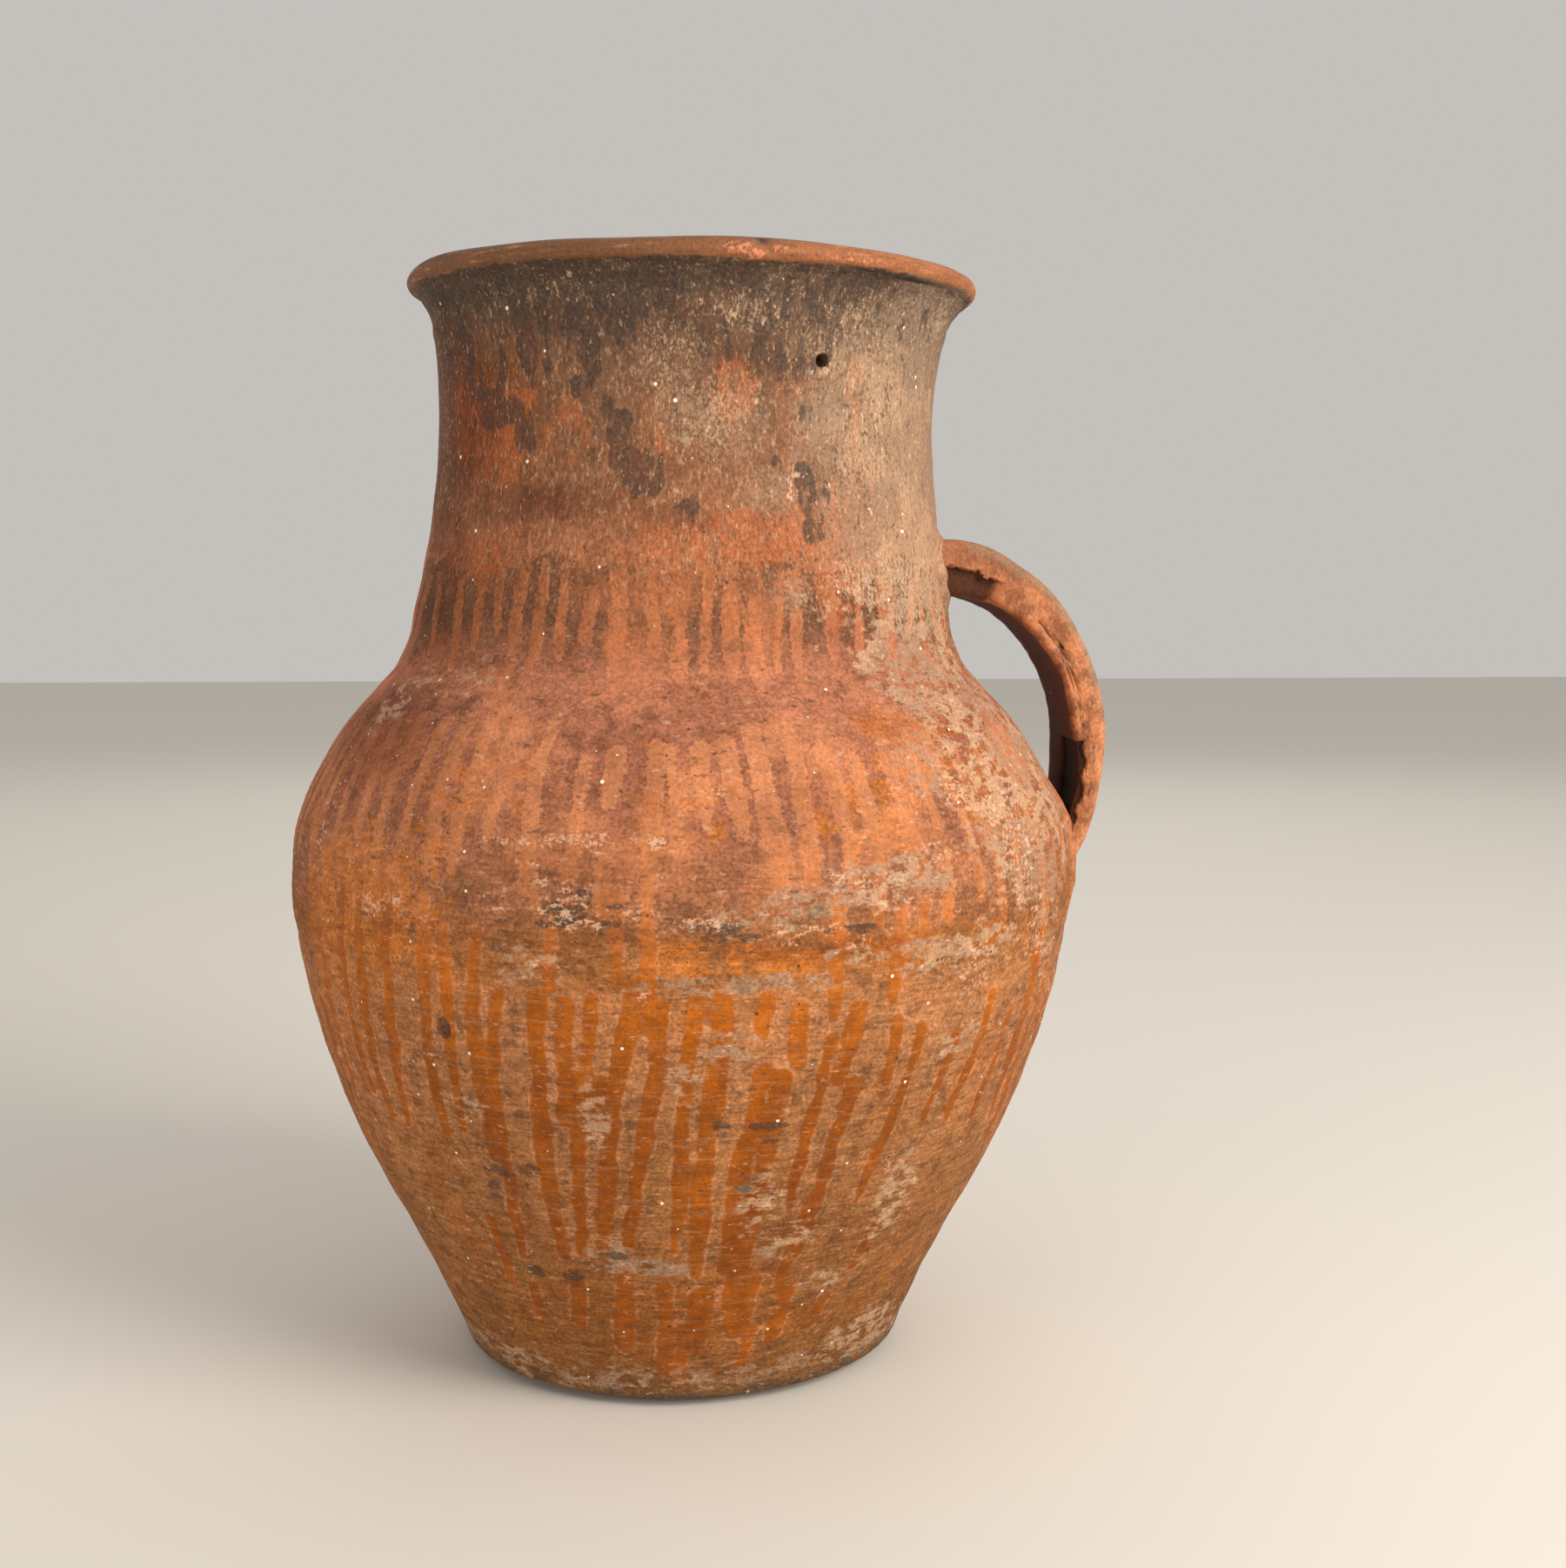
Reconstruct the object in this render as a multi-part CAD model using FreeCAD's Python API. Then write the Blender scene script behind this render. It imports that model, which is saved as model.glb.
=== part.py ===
import FreeCAD, Part
import math
import os

# A one-handled earthenware jug, kept as the pieces that a potter makes and lutes together:
# a base disc, a lower and an upper body section, a neck, a rolled rim, a strap handle,
# and a pad of clay round each root of the handle.
# Frame: +Z up, origin at the centre of the foot, handle towards +X. Millimetres and degrees.

# The jug as a whole
jug_height = 350.0
belly_diameter = 255.2
belly_height = 158.0         # height of the widest point
foot_diameter = 140.0        # where the slanting wall would meet the ground with a sharp edge
waist_diameter = 160.6       # narrowest outside diameter of the neck
waist_drop = 52.0            # narrowest point, below the top of the rim
neck_length = 120.5          # foot of the neck to the top of the rim
wall = 6.5
base_thickness = 10.0

# Radii of the outline's curves
under_curve = 152.0          # below the widest point
hollow_curve = 30.0          # hollow where the shoulder turns up into the neck
waist_curve = 215.0          # the neck's long inward curve
foot_edge = 6.0

# The rolled rim
rim_overhang = 11.5          # how far the lip stands out from the waist
lip_radius = 4.6
rim_depth = 16.0             # top edge of the neck, below the top of the rim

# The throat is trued to a cylinder, a little deeper than its narrowest point
throat_truing = 0.7

# Joints between the thrown pieces: a raised ridge below fits a groove above
joint_ridge = 2.0
seam_drop = 8.0              # body seam below the widest point
neck_joint_rise = 3.0        # neck joint above the neck's foot

# A small hole pierced through the neck
piercing_diameter = 3.4
piercing_drop = 32.2
piercing_angle = -62.9       # about +Z from the handle

# The strap handle
strap_width = 41.0
strap_thickness = 10.6
strap_corner = 4.0
root_thickness = 18.0        # where the strap leaves the neck
root_drop = 92.5             # middle of the upper root, below the top of the rim
stand_off = 4.4              # middle of the strap beyond the belly's widest radius
stand_rise = 42.0            # that outermost point, above the widest point of the belly
tail_curve = 92.0            # the strap's turn back to the belly
tail_drop = 8.0              # end of the strap inside the wall, below the belly's widest point

# The luting pads
pad_thickness = 3.0
pad_margin = 6.0             # pad beyond the strap on every side
pad_slope = 3.0              # how much the pad's edge draws in towards its face
lower_pad_above = 33.0       # top and bottom of the lower pad, from the belly's widest point
lower_pad_below = 15.0

belly_radius = belly_diameter / 2
waist_radius = waist_diameter / 2
waist_height = jug_height - waist_drop
neck_foot_height = jug_height - neck_length
neck_top_height = jug_height - rim_depth


def point(radius, height):
    return FreeCAD.Vector(radius, 0, height)


def polar(centre, radius, angle):
    return centre + point(radius * math.cos(angle), radius * math.sin(angle))


def arc(centre, radius, start, end):
    middle = polar(centre, radius, (start + end) / 2)
    return Part.Arc(polar(centre, radius, start), middle, polar(centre, radius, end)).toShape()


def line(start, end):
    return Part.LineSegment(start, end).toShape()


def revolved(edges):
    face = Part.Face(Part.Wire(Part.__sortEdges__(edges)))
    return face.revolve(point(0, 0), FreeCAD.Vector(0, 0, 1), 360)


# The outline's curves touch without corners. The wall leaves the foot as a cone that is tangent
# to the curve under the belly, and that curve stands upright at the widest point.
under_centre = point(belly_radius - under_curve, belly_height)
foot_corner = point(foot_diameter / 2, 0) - under_centre
cone_angle = math.atan2(foot_corner.z, foot_corner.x) + math.acos(under_curve / foot_corner.Length)

# The neck's inward curve ends at the foot of the neck, where the hollow takes over.
waist_centre = point(waist_radius + waist_curve, waist_height)
neck_angle = math.pi - math.asin((neck_foot_height - waist_height) / waist_curve)
hollow_centre = polar(waist_centre, waist_curve - hollow_curve, neck_angle)

# The shoulder's radius is the one that joins the upright belly to the hollow.
across = belly_radius - hollow_centre.x
rise = belly_height - hollow_centre.z
shoulder_curve = (across ** 2 + rise ** 2 - hollow_curve ** 2) / (2 * (across + hollow_curve))
shoulder_centre = point(belly_radius - shoulder_curve, belly_height)
shoulder_angle = math.atan2(hollow_centre.z - shoulder_centre.z, hollow_centre.x - shoulder_centre.x)


# The curves at a depth below the outer face, from the foot up: centre, radius, two angles.
def wall_curves(depth, top):
    top_angle = math.pi - math.asin((top - waist_height) / (waist_curve + depth))
    return [
        (under_centre, under_curve - depth, cone_angle, 0.0),
        (shoulder_centre, shoulder_curve - depth, 0.0, shoulder_angle),
        (hollow_centre, hollow_curve + depth, shoulder_angle + math.pi, neck_angle),
        (waist_centre, waist_curve + depth, neck_angle, top_angle),
    ]


def cone_radius(height, depth):
    run = under_curve - depth - (height - belly_height) * math.sin(cone_angle)
    return under_centre.x + run / math.cos(cone_angle)


def wall_radius(height, depth):
    for centre, radius, start, end in wall_curves(depth, jug_height):
        if centre.z + radius * math.sin(start) <= height <= centre.z + radius * math.sin(end):
            side = math.copysign(1, math.cos((start + end) / 2))
            return centre.x + side * math.sqrt(radius ** 2 - (height - centre.z) ** 2)
    return cone_radius(height, depth)


# One face of the wall, from a height on the cone to the top of the neck.
def wall_line(depth, bottom, top):
    curves = wall_curves(depth, top)
    edges = [line(point(cone_radius(bottom, depth), bottom), polar(*curves[0][:3]))]
    edges += [arc(*curve) for curve in curves]
    return edges


# The pot filled solid, as thick as its outer face or fatter, to trim what is luted on to it.
def filled_form(growth):
    edges = wall_line(-growth, 0, neck_top_height)
    foot = point(cone_radius(0, -growth), 0)
    top = point(wall_radius(neck_top_height, -growth), neck_top_height)
    axis = [point(0, neck_top_height), point(0, 0)]
    edges += [line(top, axis[0]), line(axis[0], axis[1]), line(axis[1], foot)]
    return revolved(edges)


# The whole thrown pot, from foot to rim, before it is parted at its joints.
def thrown_shell():
    foot_centre = point(cone_radius(foot_edge, foot_edge), foot_edge)
    foot_top = polar(foot_centre, foot_edge, cone_angle)
    edges = [line(point(0, 0), point(foot_centre.x, 0))]
    edges += [arc(foot_centre, foot_edge, -math.pi / 2, cone_angle)]

    # The neck's outer curve runs on until it meets the round lip.
    lip_centre = point(waist_radius + rim_overhang - lip_radius, jug_height - lip_radius)
    away = waist_centre - lip_centre
    square = lip_radius ** 2 + away.Length ** 2 - waist_curve ** 2
    opening = math.acos(square / (2 * lip_radius * away.Length))
    groove_angle = math.atan2(away.z, away.x) - opening
    groove = polar(lip_centre, lip_radius, groove_angle)
    outside = wall_line(0, foot_top.z, groove.z)
    edges += outside
    edges += [arc(lip_centre, lip_radius, groove_angle, math.pi / 2)]

    # The rim rolls over inwards on a curve that is level at the top of the lip.
    inner_top = point(wall_radius(neck_top_height, wall), neck_top_height)
    inward = lip_centre.x - inner_top.x
    roll = (inward ** 2 + rim_depth ** 2) / (2 * rim_depth)
    roll_centre = point(lip_centre.x, jug_height - roll)
    roll_end = math.pi + math.atan2(roll_centre.z - inner_top.z, inward)
    edges += [arc(roll_centre, roll, math.pi / 2, roll_end)]

    edges += wall_line(wall, base_thickness, neck_top_height)
    floor_edge = point(cone_radius(base_thickness, wall), base_thickness)
    edges += [line(floor_edge, point(0, base_thickness))]
    edges += [line(point(0, base_thickness), point(0, 0))]
    return revolved(edges)


# All that lies below a joint, with the ridge that stands up in the middle of the wall.
def below_joint(height):
    middle = (wall_radius(height, 0) + wall_radius(height, wall)) / 2
    corners = [
        point(0, -wall),
        point(belly_diameter, -wall),
        point(belly_diameter, height),
        point(middle + joint_ridge, height),
        point(middle, height + joint_ridge),
        point(middle - joint_ridge, height),
        point(0, height),
    ]
    return revolved([line(a, b) for a, b in zip(corners, corners[1:] + corners[:1])])


def parted(shell):
    joints = {
        "base_disc": base_thickness,
        "lower_body": belly_height - seam_drop,
        "upper_body": neck_foot_height + neck_joint_rise,
        "neck": neck_top_height,
    }
    pieces = {}
    rest = shell
    for name, height in joints.items():
        below = below_joint(height)
        pieces[name] = rest.common(below)
        rest = rest.cut(below)
    pieces["rim_roll"] = rest
    return pieces


def finished_neck(neck):
    throat = Part.makeCylinder(waist_radius - wall + throat_truing, jug_height)
    angle = math.radians(piercing_angle)
    outward = FreeCAD.Vector(math.cos(angle), math.sin(angle), 0)
    start = point(0, jug_height - piercing_drop)
    piercing = Part.makeCylinder(piercing_diameter / 2, belly_diameter, start, outward)
    return neck.cut(throat).cut(piercing)


# A rectangle with round corners, centred on a point and lying across a direction in the XZ plane.
def rounded_rectangle(centre, across_direction, width, height, corner):
    sideways = FreeCAD.Vector(0, 1, 0)

    def spot(side, up):
        return centre + sideways * side + across_direction * up

    edges = []
    for turn in range(4):
        start = turn * math.pi / 2
        side = math.copysign(width / 2 - corner, math.cos(start + math.pi / 4))
        up = math.copysign(height / 2 - corner, math.sin(start + math.pi / 4))
        spots = []
        for share in (0, 0.5, 1):
            angle = start + share * math.pi / 2
            spots.append(spot(side + corner * math.cos(angle), up + corner * math.sin(angle)))
        if edges:
            edges.append(line(edges[-1].Vertexes[-1].Point, spots[0]))
        edges.append(Part.Arc(*spots).toShape())
    edges.append(line(edges[-1].Vertexes[-1].Point, edges[0].Vertexes[0].Point))
    return Part.Wire(edges)


# The strap leaves the neck level, comes down a quarter of an ellipse to its outermost point,
# then turns back into the belly on a round arc.
def strap():
    root_height = jug_height - root_drop
    stand_height = belly_height + stand_rise
    reach = belly_radius + stand_off
    start = wall_radius(root_height, wall / 2)
    sections = []
    steps = 6
    for step in range(steps + 1):
        angle = step / steps * math.pi / 2
        centre = point(start + (reach - start) * math.sin(angle),
                       stand_height + (root_height - stand_height) * math.cos(angle))
        outward = point((root_height - stand_height) * math.sin(angle), (reach - start) * math.cos(angle))
        thickness = strap_thickness + (root_thickness - strap_thickness) * math.cos(angle) ** 3
        sections.append((centre, outward.normalize(), thickness))
    tail_centre = point(reach - tail_curve, stand_height)
    tail_end = math.asin((stand_rise + tail_drop) / tail_curve)
    tail_steps = 3
    for step in range(1, tail_steps + 1):
        angle = -tail_end * step / tail_steps
        sections.append((polar(tail_centre, tail_curve, angle), polar(point(0, 0), 1, angle), strap_thickness))
    wires = [rounded_rectangle(centre, outward, strap_width, thickness, strap_corner)
             for centre, outward, thickness in sections]
    return Part.makeLoft(wires, True, False)


# A pad of clay on the pot's outer face, sloping in at its edges and pierced by the strap.
def luting_pad(bottom, top, form, swollen_form, strap_solid):
    up = FreeCAD.Vector(0, 0, 1)
    middle = (bottom + top) / 2
    width = strap_width + 2 * pad_margin
    corner = strap_corner + pad_margin
    inner = wall_radius(middle, 0) - wall
    outer = max(wall_radius(bottom, 0), wall_radius(middle, 0), wall_radius(top, 0)) + 2 * pad_thickness
    near = rounded_rectangle(point(inner, middle), up, width, top - bottom, corner)
    far = rounded_rectangle(point(outer, middle), up, width - 2 * pad_slope, top - bottom - 2 * pad_slope,
                            corner - pad_slope)
    block = Part.makeLoft([near, far], True, True)
    return block.common(swollen_form).cut(form).cut(strap_solid)


def build():
    pieces = parted(thrown_shell())
    pieces["neck"] = finished_neck(pieces["neck"])

    form = filled_form(0)
    swollen_form = filled_form(pad_thickness)
    strap_solid = strap()
    root_height = jug_height - root_drop
    root_reach = root_thickness / 2 + pad_margin
    pieces["strap_handle"] = strap_solid.cut(form)
    pieces["upper_handle_lute"] = luting_pad(root_height - root_reach, root_height + root_reach,
                                             form, swollen_form, strap_solid)
    pieces["lower_handle_lute"] = luting_pad(belly_height - lower_pad_below, belly_height + lower_pad_above,
                                             form, swollen_form, strap_solid)
    return pieces


os.makedirs("parts", exist_ok=True)
for name, shape in build().items():
    print(name, "solids", len(shape.Solids), "valid", shape.isValid(), "volume", round(shape.Volume))
    shape.exportStep(f"parts/{name}.step")
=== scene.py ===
import bpy
import math
import numpy as np
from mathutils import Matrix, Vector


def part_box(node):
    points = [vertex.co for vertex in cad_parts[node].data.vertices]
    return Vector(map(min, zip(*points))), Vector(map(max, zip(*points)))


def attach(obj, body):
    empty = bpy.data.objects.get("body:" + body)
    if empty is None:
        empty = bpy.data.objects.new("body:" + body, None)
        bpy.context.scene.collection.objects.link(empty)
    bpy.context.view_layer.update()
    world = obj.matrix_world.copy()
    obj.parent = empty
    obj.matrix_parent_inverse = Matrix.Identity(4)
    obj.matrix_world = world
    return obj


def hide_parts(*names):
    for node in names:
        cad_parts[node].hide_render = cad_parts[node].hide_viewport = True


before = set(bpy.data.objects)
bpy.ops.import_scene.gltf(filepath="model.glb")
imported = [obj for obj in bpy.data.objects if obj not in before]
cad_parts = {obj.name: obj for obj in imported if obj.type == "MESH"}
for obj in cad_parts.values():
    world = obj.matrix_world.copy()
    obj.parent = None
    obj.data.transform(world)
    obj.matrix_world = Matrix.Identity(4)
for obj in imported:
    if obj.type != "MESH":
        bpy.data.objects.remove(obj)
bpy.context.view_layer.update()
mm = 0.001
bpy.context.scene.view_settings.view_transform = "Standard"

# Camera, floor and light.
studio = {
    "cameraPlace": (-0.0180, -0.6686, 0.2530),
    "cameraTurn": (90 - 5.755, 0, -4.5),   # a little down, and a little towards the handle
    "lens": 46.3,
    "lampAim": 0.17,                        # the lamps look at this height on the jug's axis
    "floorSize": 9.0,
    "floorColor": (0.74, 0.70, 0.64),
    "skyColor": (0.86, 0.83, 0.79),
    "skyStrength": 0.64,
}
lamps = [                                   # name, place, width, watts, tint
    ("windowLight", (1.10, -0.95, 0.85), 0.9, 26.0, (1.0, 0.95, 0.88)),
    ("roomFill", (-1.3, -1.2, 0.14), 1.4, 15.0, (1.0, 0.96, 0.92)),
    ("backGlow", (0.2, 1.5, 1.3), 1.6, 6.0, (1.0, 0.97, 0.93)),
]


def deselectAll():
    if bpy.context.mode != "OBJECT":
        bpy.ops.object.mode_set(mode="OBJECT")
    bpy.ops.object.select_all(action="DESELECT")


def buildStudio():
    deselectAll()
    turn = [math.radians(a) for a in studio["cameraTurn"]]
    bpy.ops.object.camera_add(location=studio["cameraPlace"], rotation=turn)
    camera = bpy.context.object
    camera.data.sensor_fit = "HORIZONTAL"
    camera.data.sensor_width = 36
    camera.data.lens = studio["lens"]
    bpy.context.scene.camera = camera
    for name, place, width, watts, tint in lamps:
        bpy.ops.object.light_add(type="AREA", location=place)
        lamp = bpy.context.object
        lamp.name = name
        lamp.data.size = width
        lamp.data.energy = watts
        lamp.data.color = tint
        aim = lamp.location.copy()
        aim.z -= studio["lampAim"]
        lamp.rotation_euler = aim.to_track_quat("Z", "Y").to_euler()
    bpy.ops.mesh.primitive_plane_add(size=studio["floorSize"], location=(0, 0, 0))
    floor = bpy.context.object
    floor.name = "paleFloor"
    paper = bpy.data.materials.new("palePaper")
    paper.use_nodes = True
    surface = paper.node_tree.nodes["Principled BSDF"]
    surface.inputs["Base Color"].default_value = (*studio["floorColor"], 1)
    surface.inputs["Roughness"].default_value = 0.9
    floor.data.materials.append(paper)
    world = bpy.data.worlds.new("softSky")
    world.use_nodes = True
    world.node_tree.nodes["Background"].inputs["Color"].default_value = (*studio["skyColor"], 1)
    world.node_tree.nodes["Background"].inputs["Strength"].default_value = studio["skyStrength"]
    bpy.context.scene.world = world
    print("studio ready")


buildStudio()

# The pot's outline, in millimetres.
pot = {
    "outline": [                            # height, outer radius
        (0, 67.6), (3, 71.0), (10, 74.4), (27, 82.2), (47, 92.2), (64, 101.0), (80, 108.4), (94, 114.0),
        (110, 119.7), (126, 123.9), (142, 126.5), (158, 127.6), (170, 126.7), (182, 123.6), (192, 118.6),
        (203, 112.2), (212, 105.4), (219, 98.9), (225, 93.6), (233, 89.7), (245, 87.0), (262, 84.0),
        (280, 81.5), (298, 80.4), (318, 81.0), (334, 83.3), (345, 86.2),
    ],
    "lean": [                               # height, how far the axis has wandered towards the handle
        (0, 0), (80, 0.8), (157, 1.6), (221, 0.9), (271, 2.4), (318, 3.7), (350, 5.6),
    ],
    "rimTilt": 0.7,                         # degrees, down on the handle's side
    "wall": 6.5,
    "turns": 460,                           # facets round the pot
    "outerStep": 1.0,
    "innerStep": 3.5,
}


# A smooth curve through given stations.
def easedThrough(stations, at):
    xs, ys = np.array(stations, float).T
    slopes = np.gradient(ys, xs)
    at = np.asarray(at, float)
    i = np.clip(np.searchsorted(xs, at) - 1, 0, len(xs) - 2)
    gap = xs[i + 1] - xs[i]
    t = np.clip((at - xs[i]) / gap, 0, 1)
    return ((1 + 2 * t) * (1 - t) ** 2 * ys[i] + t * (1 - t) ** 2 * gap * slopes[i]
            + t * t * (3 - 2 * t) * ys[i + 1] + t * t * (t - 1) * gap * slopes[i + 1])


def outerRadius(height):
    return easedThrough(pot["outline"], height)


def innerRadius(height):
    heights = np.linspace(0, 345, 700)
    radii = outerRadius(heights)
    slope = np.gradient(radii, heights)
    square = np.sqrt(1 + slope ** 2)
    return np.interp(height, heights + pot["wall"] * slope / square, radii - pot["wall"] / square)


def softStep(low, high, value):
    t = np.clip((value - low) / (high - low), 0, 1)
    return t * t * (3 - 2 * t)


# Gentle unevenness: a sum of slow waves in seeded directions, about -1 to 1.
def unevenness(points, size, seed):
    dice = np.random.default_rng(seed)
    total = np.zeros(len(points))
    waves = 14
    for _ in range(waves):
        direction = dice.normal(size=3)
        direction *= 2 * math.pi / (size * np.linalg.norm(direction)) * dice.uniform(0.6, 1.5)
        total += np.sin(points @ direction + dice.uniform(0, 2 * math.pi))
    return total / math.sqrt(waves)


# The whole pot leans and its rim dips towards the handle. Takes and gives millimetres.
def settle(points):
    settled = points.copy()
    settled[:, 0] += easedThrough(pot["lean"], points[:, 2])
    dip = math.tan(math.radians(pot["rimTilt"])) * softStep(230, 345, points[:, 2])
    settled[:, 2] -= points[:, 0] * dip
    return settled


def pointsOf(piece):
    flat = np.empty(len(piece.data.vertices) * 3)
    piece.data.vertices.foreach_get("co", flat)
    return flat.reshape(-1, 3) / mm


def placePoints(piece, points):
    piece.data.vertices.foreach_set("co", (points * mm).ravel())
    piece.data.update()


def addField(piece, name, values):
    field = piece.data.attributes.new(name, "FLOAT", "POINT")
    field.data.foreach_set("value", np.asarray(values, np.float32))


# Degrees round the pot from the front towards the handle, height and radius of each point.
def potPlace(points):
    angle = np.degrees(np.arctan2(points[:, 0], -points[:, 1]))
    return angle, points[:, 2], np.hypot(points[:, 0], points[:, 1])


def turnBetween(angle, middle):
    return (angle - middle + 180) % 360 - 180


# Moves the skin out by its relief, square to the axis.
def swell(points, relief):
    radius = np.hypot(points[:, 0], points[:, 1])
    scale = 1 + np.where(radius > 1, relief / np.maximum(radius, 1), 0)
    points[:, 0] *= scale
    points[:, 1] *= scale


def smoothBy(piece, degrees):
    deselectAll()
    piece.select_set(True)
    bpy.context.view_layer.objects.active = piece
    bpy.ops.object.shade_smooth_by_angle(angle=math.radians(degrees))


# Slip runs.
# Each run: angle at its head and at its tail, head and tail height, width. Angles go from the front
# (0) towards the handle (90); heights and widths are millimetres.
slipRuns = {
    "neckFoot": [
        (-64, -60, 257, 229, 5.0), (-54, -50, 258, 226, 5.6), (-47, -45.5, 259, 232, 5.2),
        (-41, -40, 258, 236, 4.5), (-35.5, -34.5, 259, 220, 6.0), (-30.2, -30.4, 260, 226, 5.4),
        (-25, -25.4, 259, 230, 5.0), (-19.5, -19.5, 252, 234, 6.5), (-14.8, -14, 258, 226, 6.8),
        (-7.8, -7, 258, 231, 5.4), (-1.7, -2, 260, 223, 6.4), (2.8, 2.3, 260, 222, 4.6),
        (7.5, 7, 261, 224, 6.4), (12.3, 12, 262, 221, 6.8), (16.8, 16, 256, 226, 4.2),
        (21, 19.3, 258, 221, 5.2), (28.8, 28, 256, 228, 5.0), (35, 34, 254, 231, 4.6),
        (42, 41, 255, 229, 5.2),
    ],
    "shoulder": [
        (-60, -57, 212, 176, 6.0), (-54, -51.5, 214, 178, 6.5), (-48.6, -46.2, 215, 176, 6.6),
        (-42.2, -42.2, 213, 172, 6.4), (-37, -37, 215, 170, 7.4), (-32.6, -32.7, 217, 172, 6.6),
        (-28.2, -27.8, 216, 178, 6.8), (-21.5, -22.3, 216, 168, 5.4), (-22.8, -20.7, 206, 162, 6.6),
        (-15.8, -15.8, 205, 163, 6.2), (-10.7, -11.5, 208, 190, 9.5), (-11.5, -12, 180, 160, 7.0),
        (-5.6, -6.5, 209, 128, 7.2), (-3.0, -2.7, 208, 180, 5.6), (0.8, 1.5, 209, 184, 8.0),
        (4.3, 5.9, 210, 182, 8.2), (9.2, 10.2, 213, 168, 10.5), (14.9, 14.6, 211, 167, 8.8),
        (19.0, 20.6, 208, 164, 8.6), (24.0, 23.4, 205, 156, 7.6), (29.7, 30.2, 210, 152, 8.4),
        (34.1, 34.5, 205, 155, 7.0), (39.0, 40.2, 209, 160, 6.0), (43.3, 45.1, 206, 152, 7.4),
        (49.0, 50.0, 203, 158, 6.6), (56.0, 57.0, 204, 150, 6.0),
    ],
    "belly": [
        (-60, -63, 172, 96, 5.6), (-53.8, -55.2, 174, 99, 6.0), (-49.4, -51.4, 176, 92, 6.2),
        (-42.4, -47.2, 172, 92, 6.4), (-45.5, -44.5, 170, 143, 8.5), (-36.9, -38.9, 166, 92, 6.0),
        (-33.3, -35.2, 158, 94, 5.6), (-28.7, -31.2, 158, 86, 6.8), (-26.1, -31.4, 141, 52, 5.6),
        (-20.6, -23.2, 142, 54, 7.4), (-16.5, -17.6, 140, 112, 6.2), (-16.5, -18.2, 117, 100, 8.6),
        (-13.2, -19.4, 141, 55, 6.4), (-12.6, -13.4, 117, 98, 7.6), (-7.5, -15.6, 146, 58, 7.2),
        (-4.6, -6.6, 139, 98, 6.4), (-6.0, -11.0, 112, 56, 6.4), (-0.4, -3.2, 141, 58, 6.0),
        (3.2, 0.2, 143, 48, 7.6), (2.6, 1.0, 118, 92, 7.8), (8.5, 8.2, 141, 126, 6.6),
        (8.8, 5.1, 120, 50, 8.0), (13.2, 13.2, 138, 117, 7.2), (11.6, 7.4, 118, 36, 7.8),
        (17.4, 15.2, 128, 70, 5.4), (21.5, 19.2, 137, 110, 7.4), (22.3, 16.6, 114, 40, 7.0),
        (27.1, 26.5, 131, 106, 6.0), (31.7, 27.5, 128, 70, 5.4), (38.7, 36.3, 124, 92, 5.2),
        (44.5, 42.0, 134, 90, 5.4), (51, 49, 126, 88, 5.0), (-21, -23, 50, 27, 6.0),
        (-12, -14, 54, 20, 8.6), (-5, -6, 48, 12, 7.4), (2.5, 1, 46, 20, 9.4), (10.5, 9, 50, 25, 10),
        (19, 17, 44, 22, 8.0), (-1, -3, 32, 7, 5.4), (13, 12, 30, 13, 6.0), (28, 26, 38, 24, 5.0),
        (-31, -33, 44, 26, 5.4), (-36, -37, 66, 40, 5.0), (34, 32, 62, 42, 5.4),
        (-10, -10.5, 170, 142, 6.0), (18, 17.6, 167, 130, 6.4), (26.5, 26, 163, 134, 6.0),
        (-18.5, -19, 162, 140, 6.0),
    ],
}
runShare = {"neckFoot": 0.76, "shoulder": 0.66, "belly": 0.76}   # how much of its width each run keeps
unseenRuns = {                              # sides and back: count, from, to, then heads, tails, widths
    "neckFoot": (48, 46, 292, (252, 261), (221, 236), (4.4, 6.8)),
    "shoulder": (58, 60, 296, (204, 216), (156, 180), (5.6, 9.0)),
    "belly": (56, 55, 294, (112, 160), (48, 104), (5.2, 7.8)),
}


farOutside = 12.0                           # minus this is the depth far away from every run


def allRuns():
    dice = np.random.default_rng(11)
    runs = []
    for band, seen in slipRuns.items():
        runs += [(*run[:4], run[4] * runShare[band]) for run in seen]
        count, first, last, heads, tails, widths = unseenRuns[band]
        for angle in np.linspace(first, last, count):
            start = angle + dice.uniform(-1.6, 1.6)
            runs.append((start, start + dice.uniform(-4.5, 0.8), dice.uniform(*heads), dice.uniform(*tails),
                         dice.uniform(*widths) * runShare[band]))
    return runs


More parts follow.
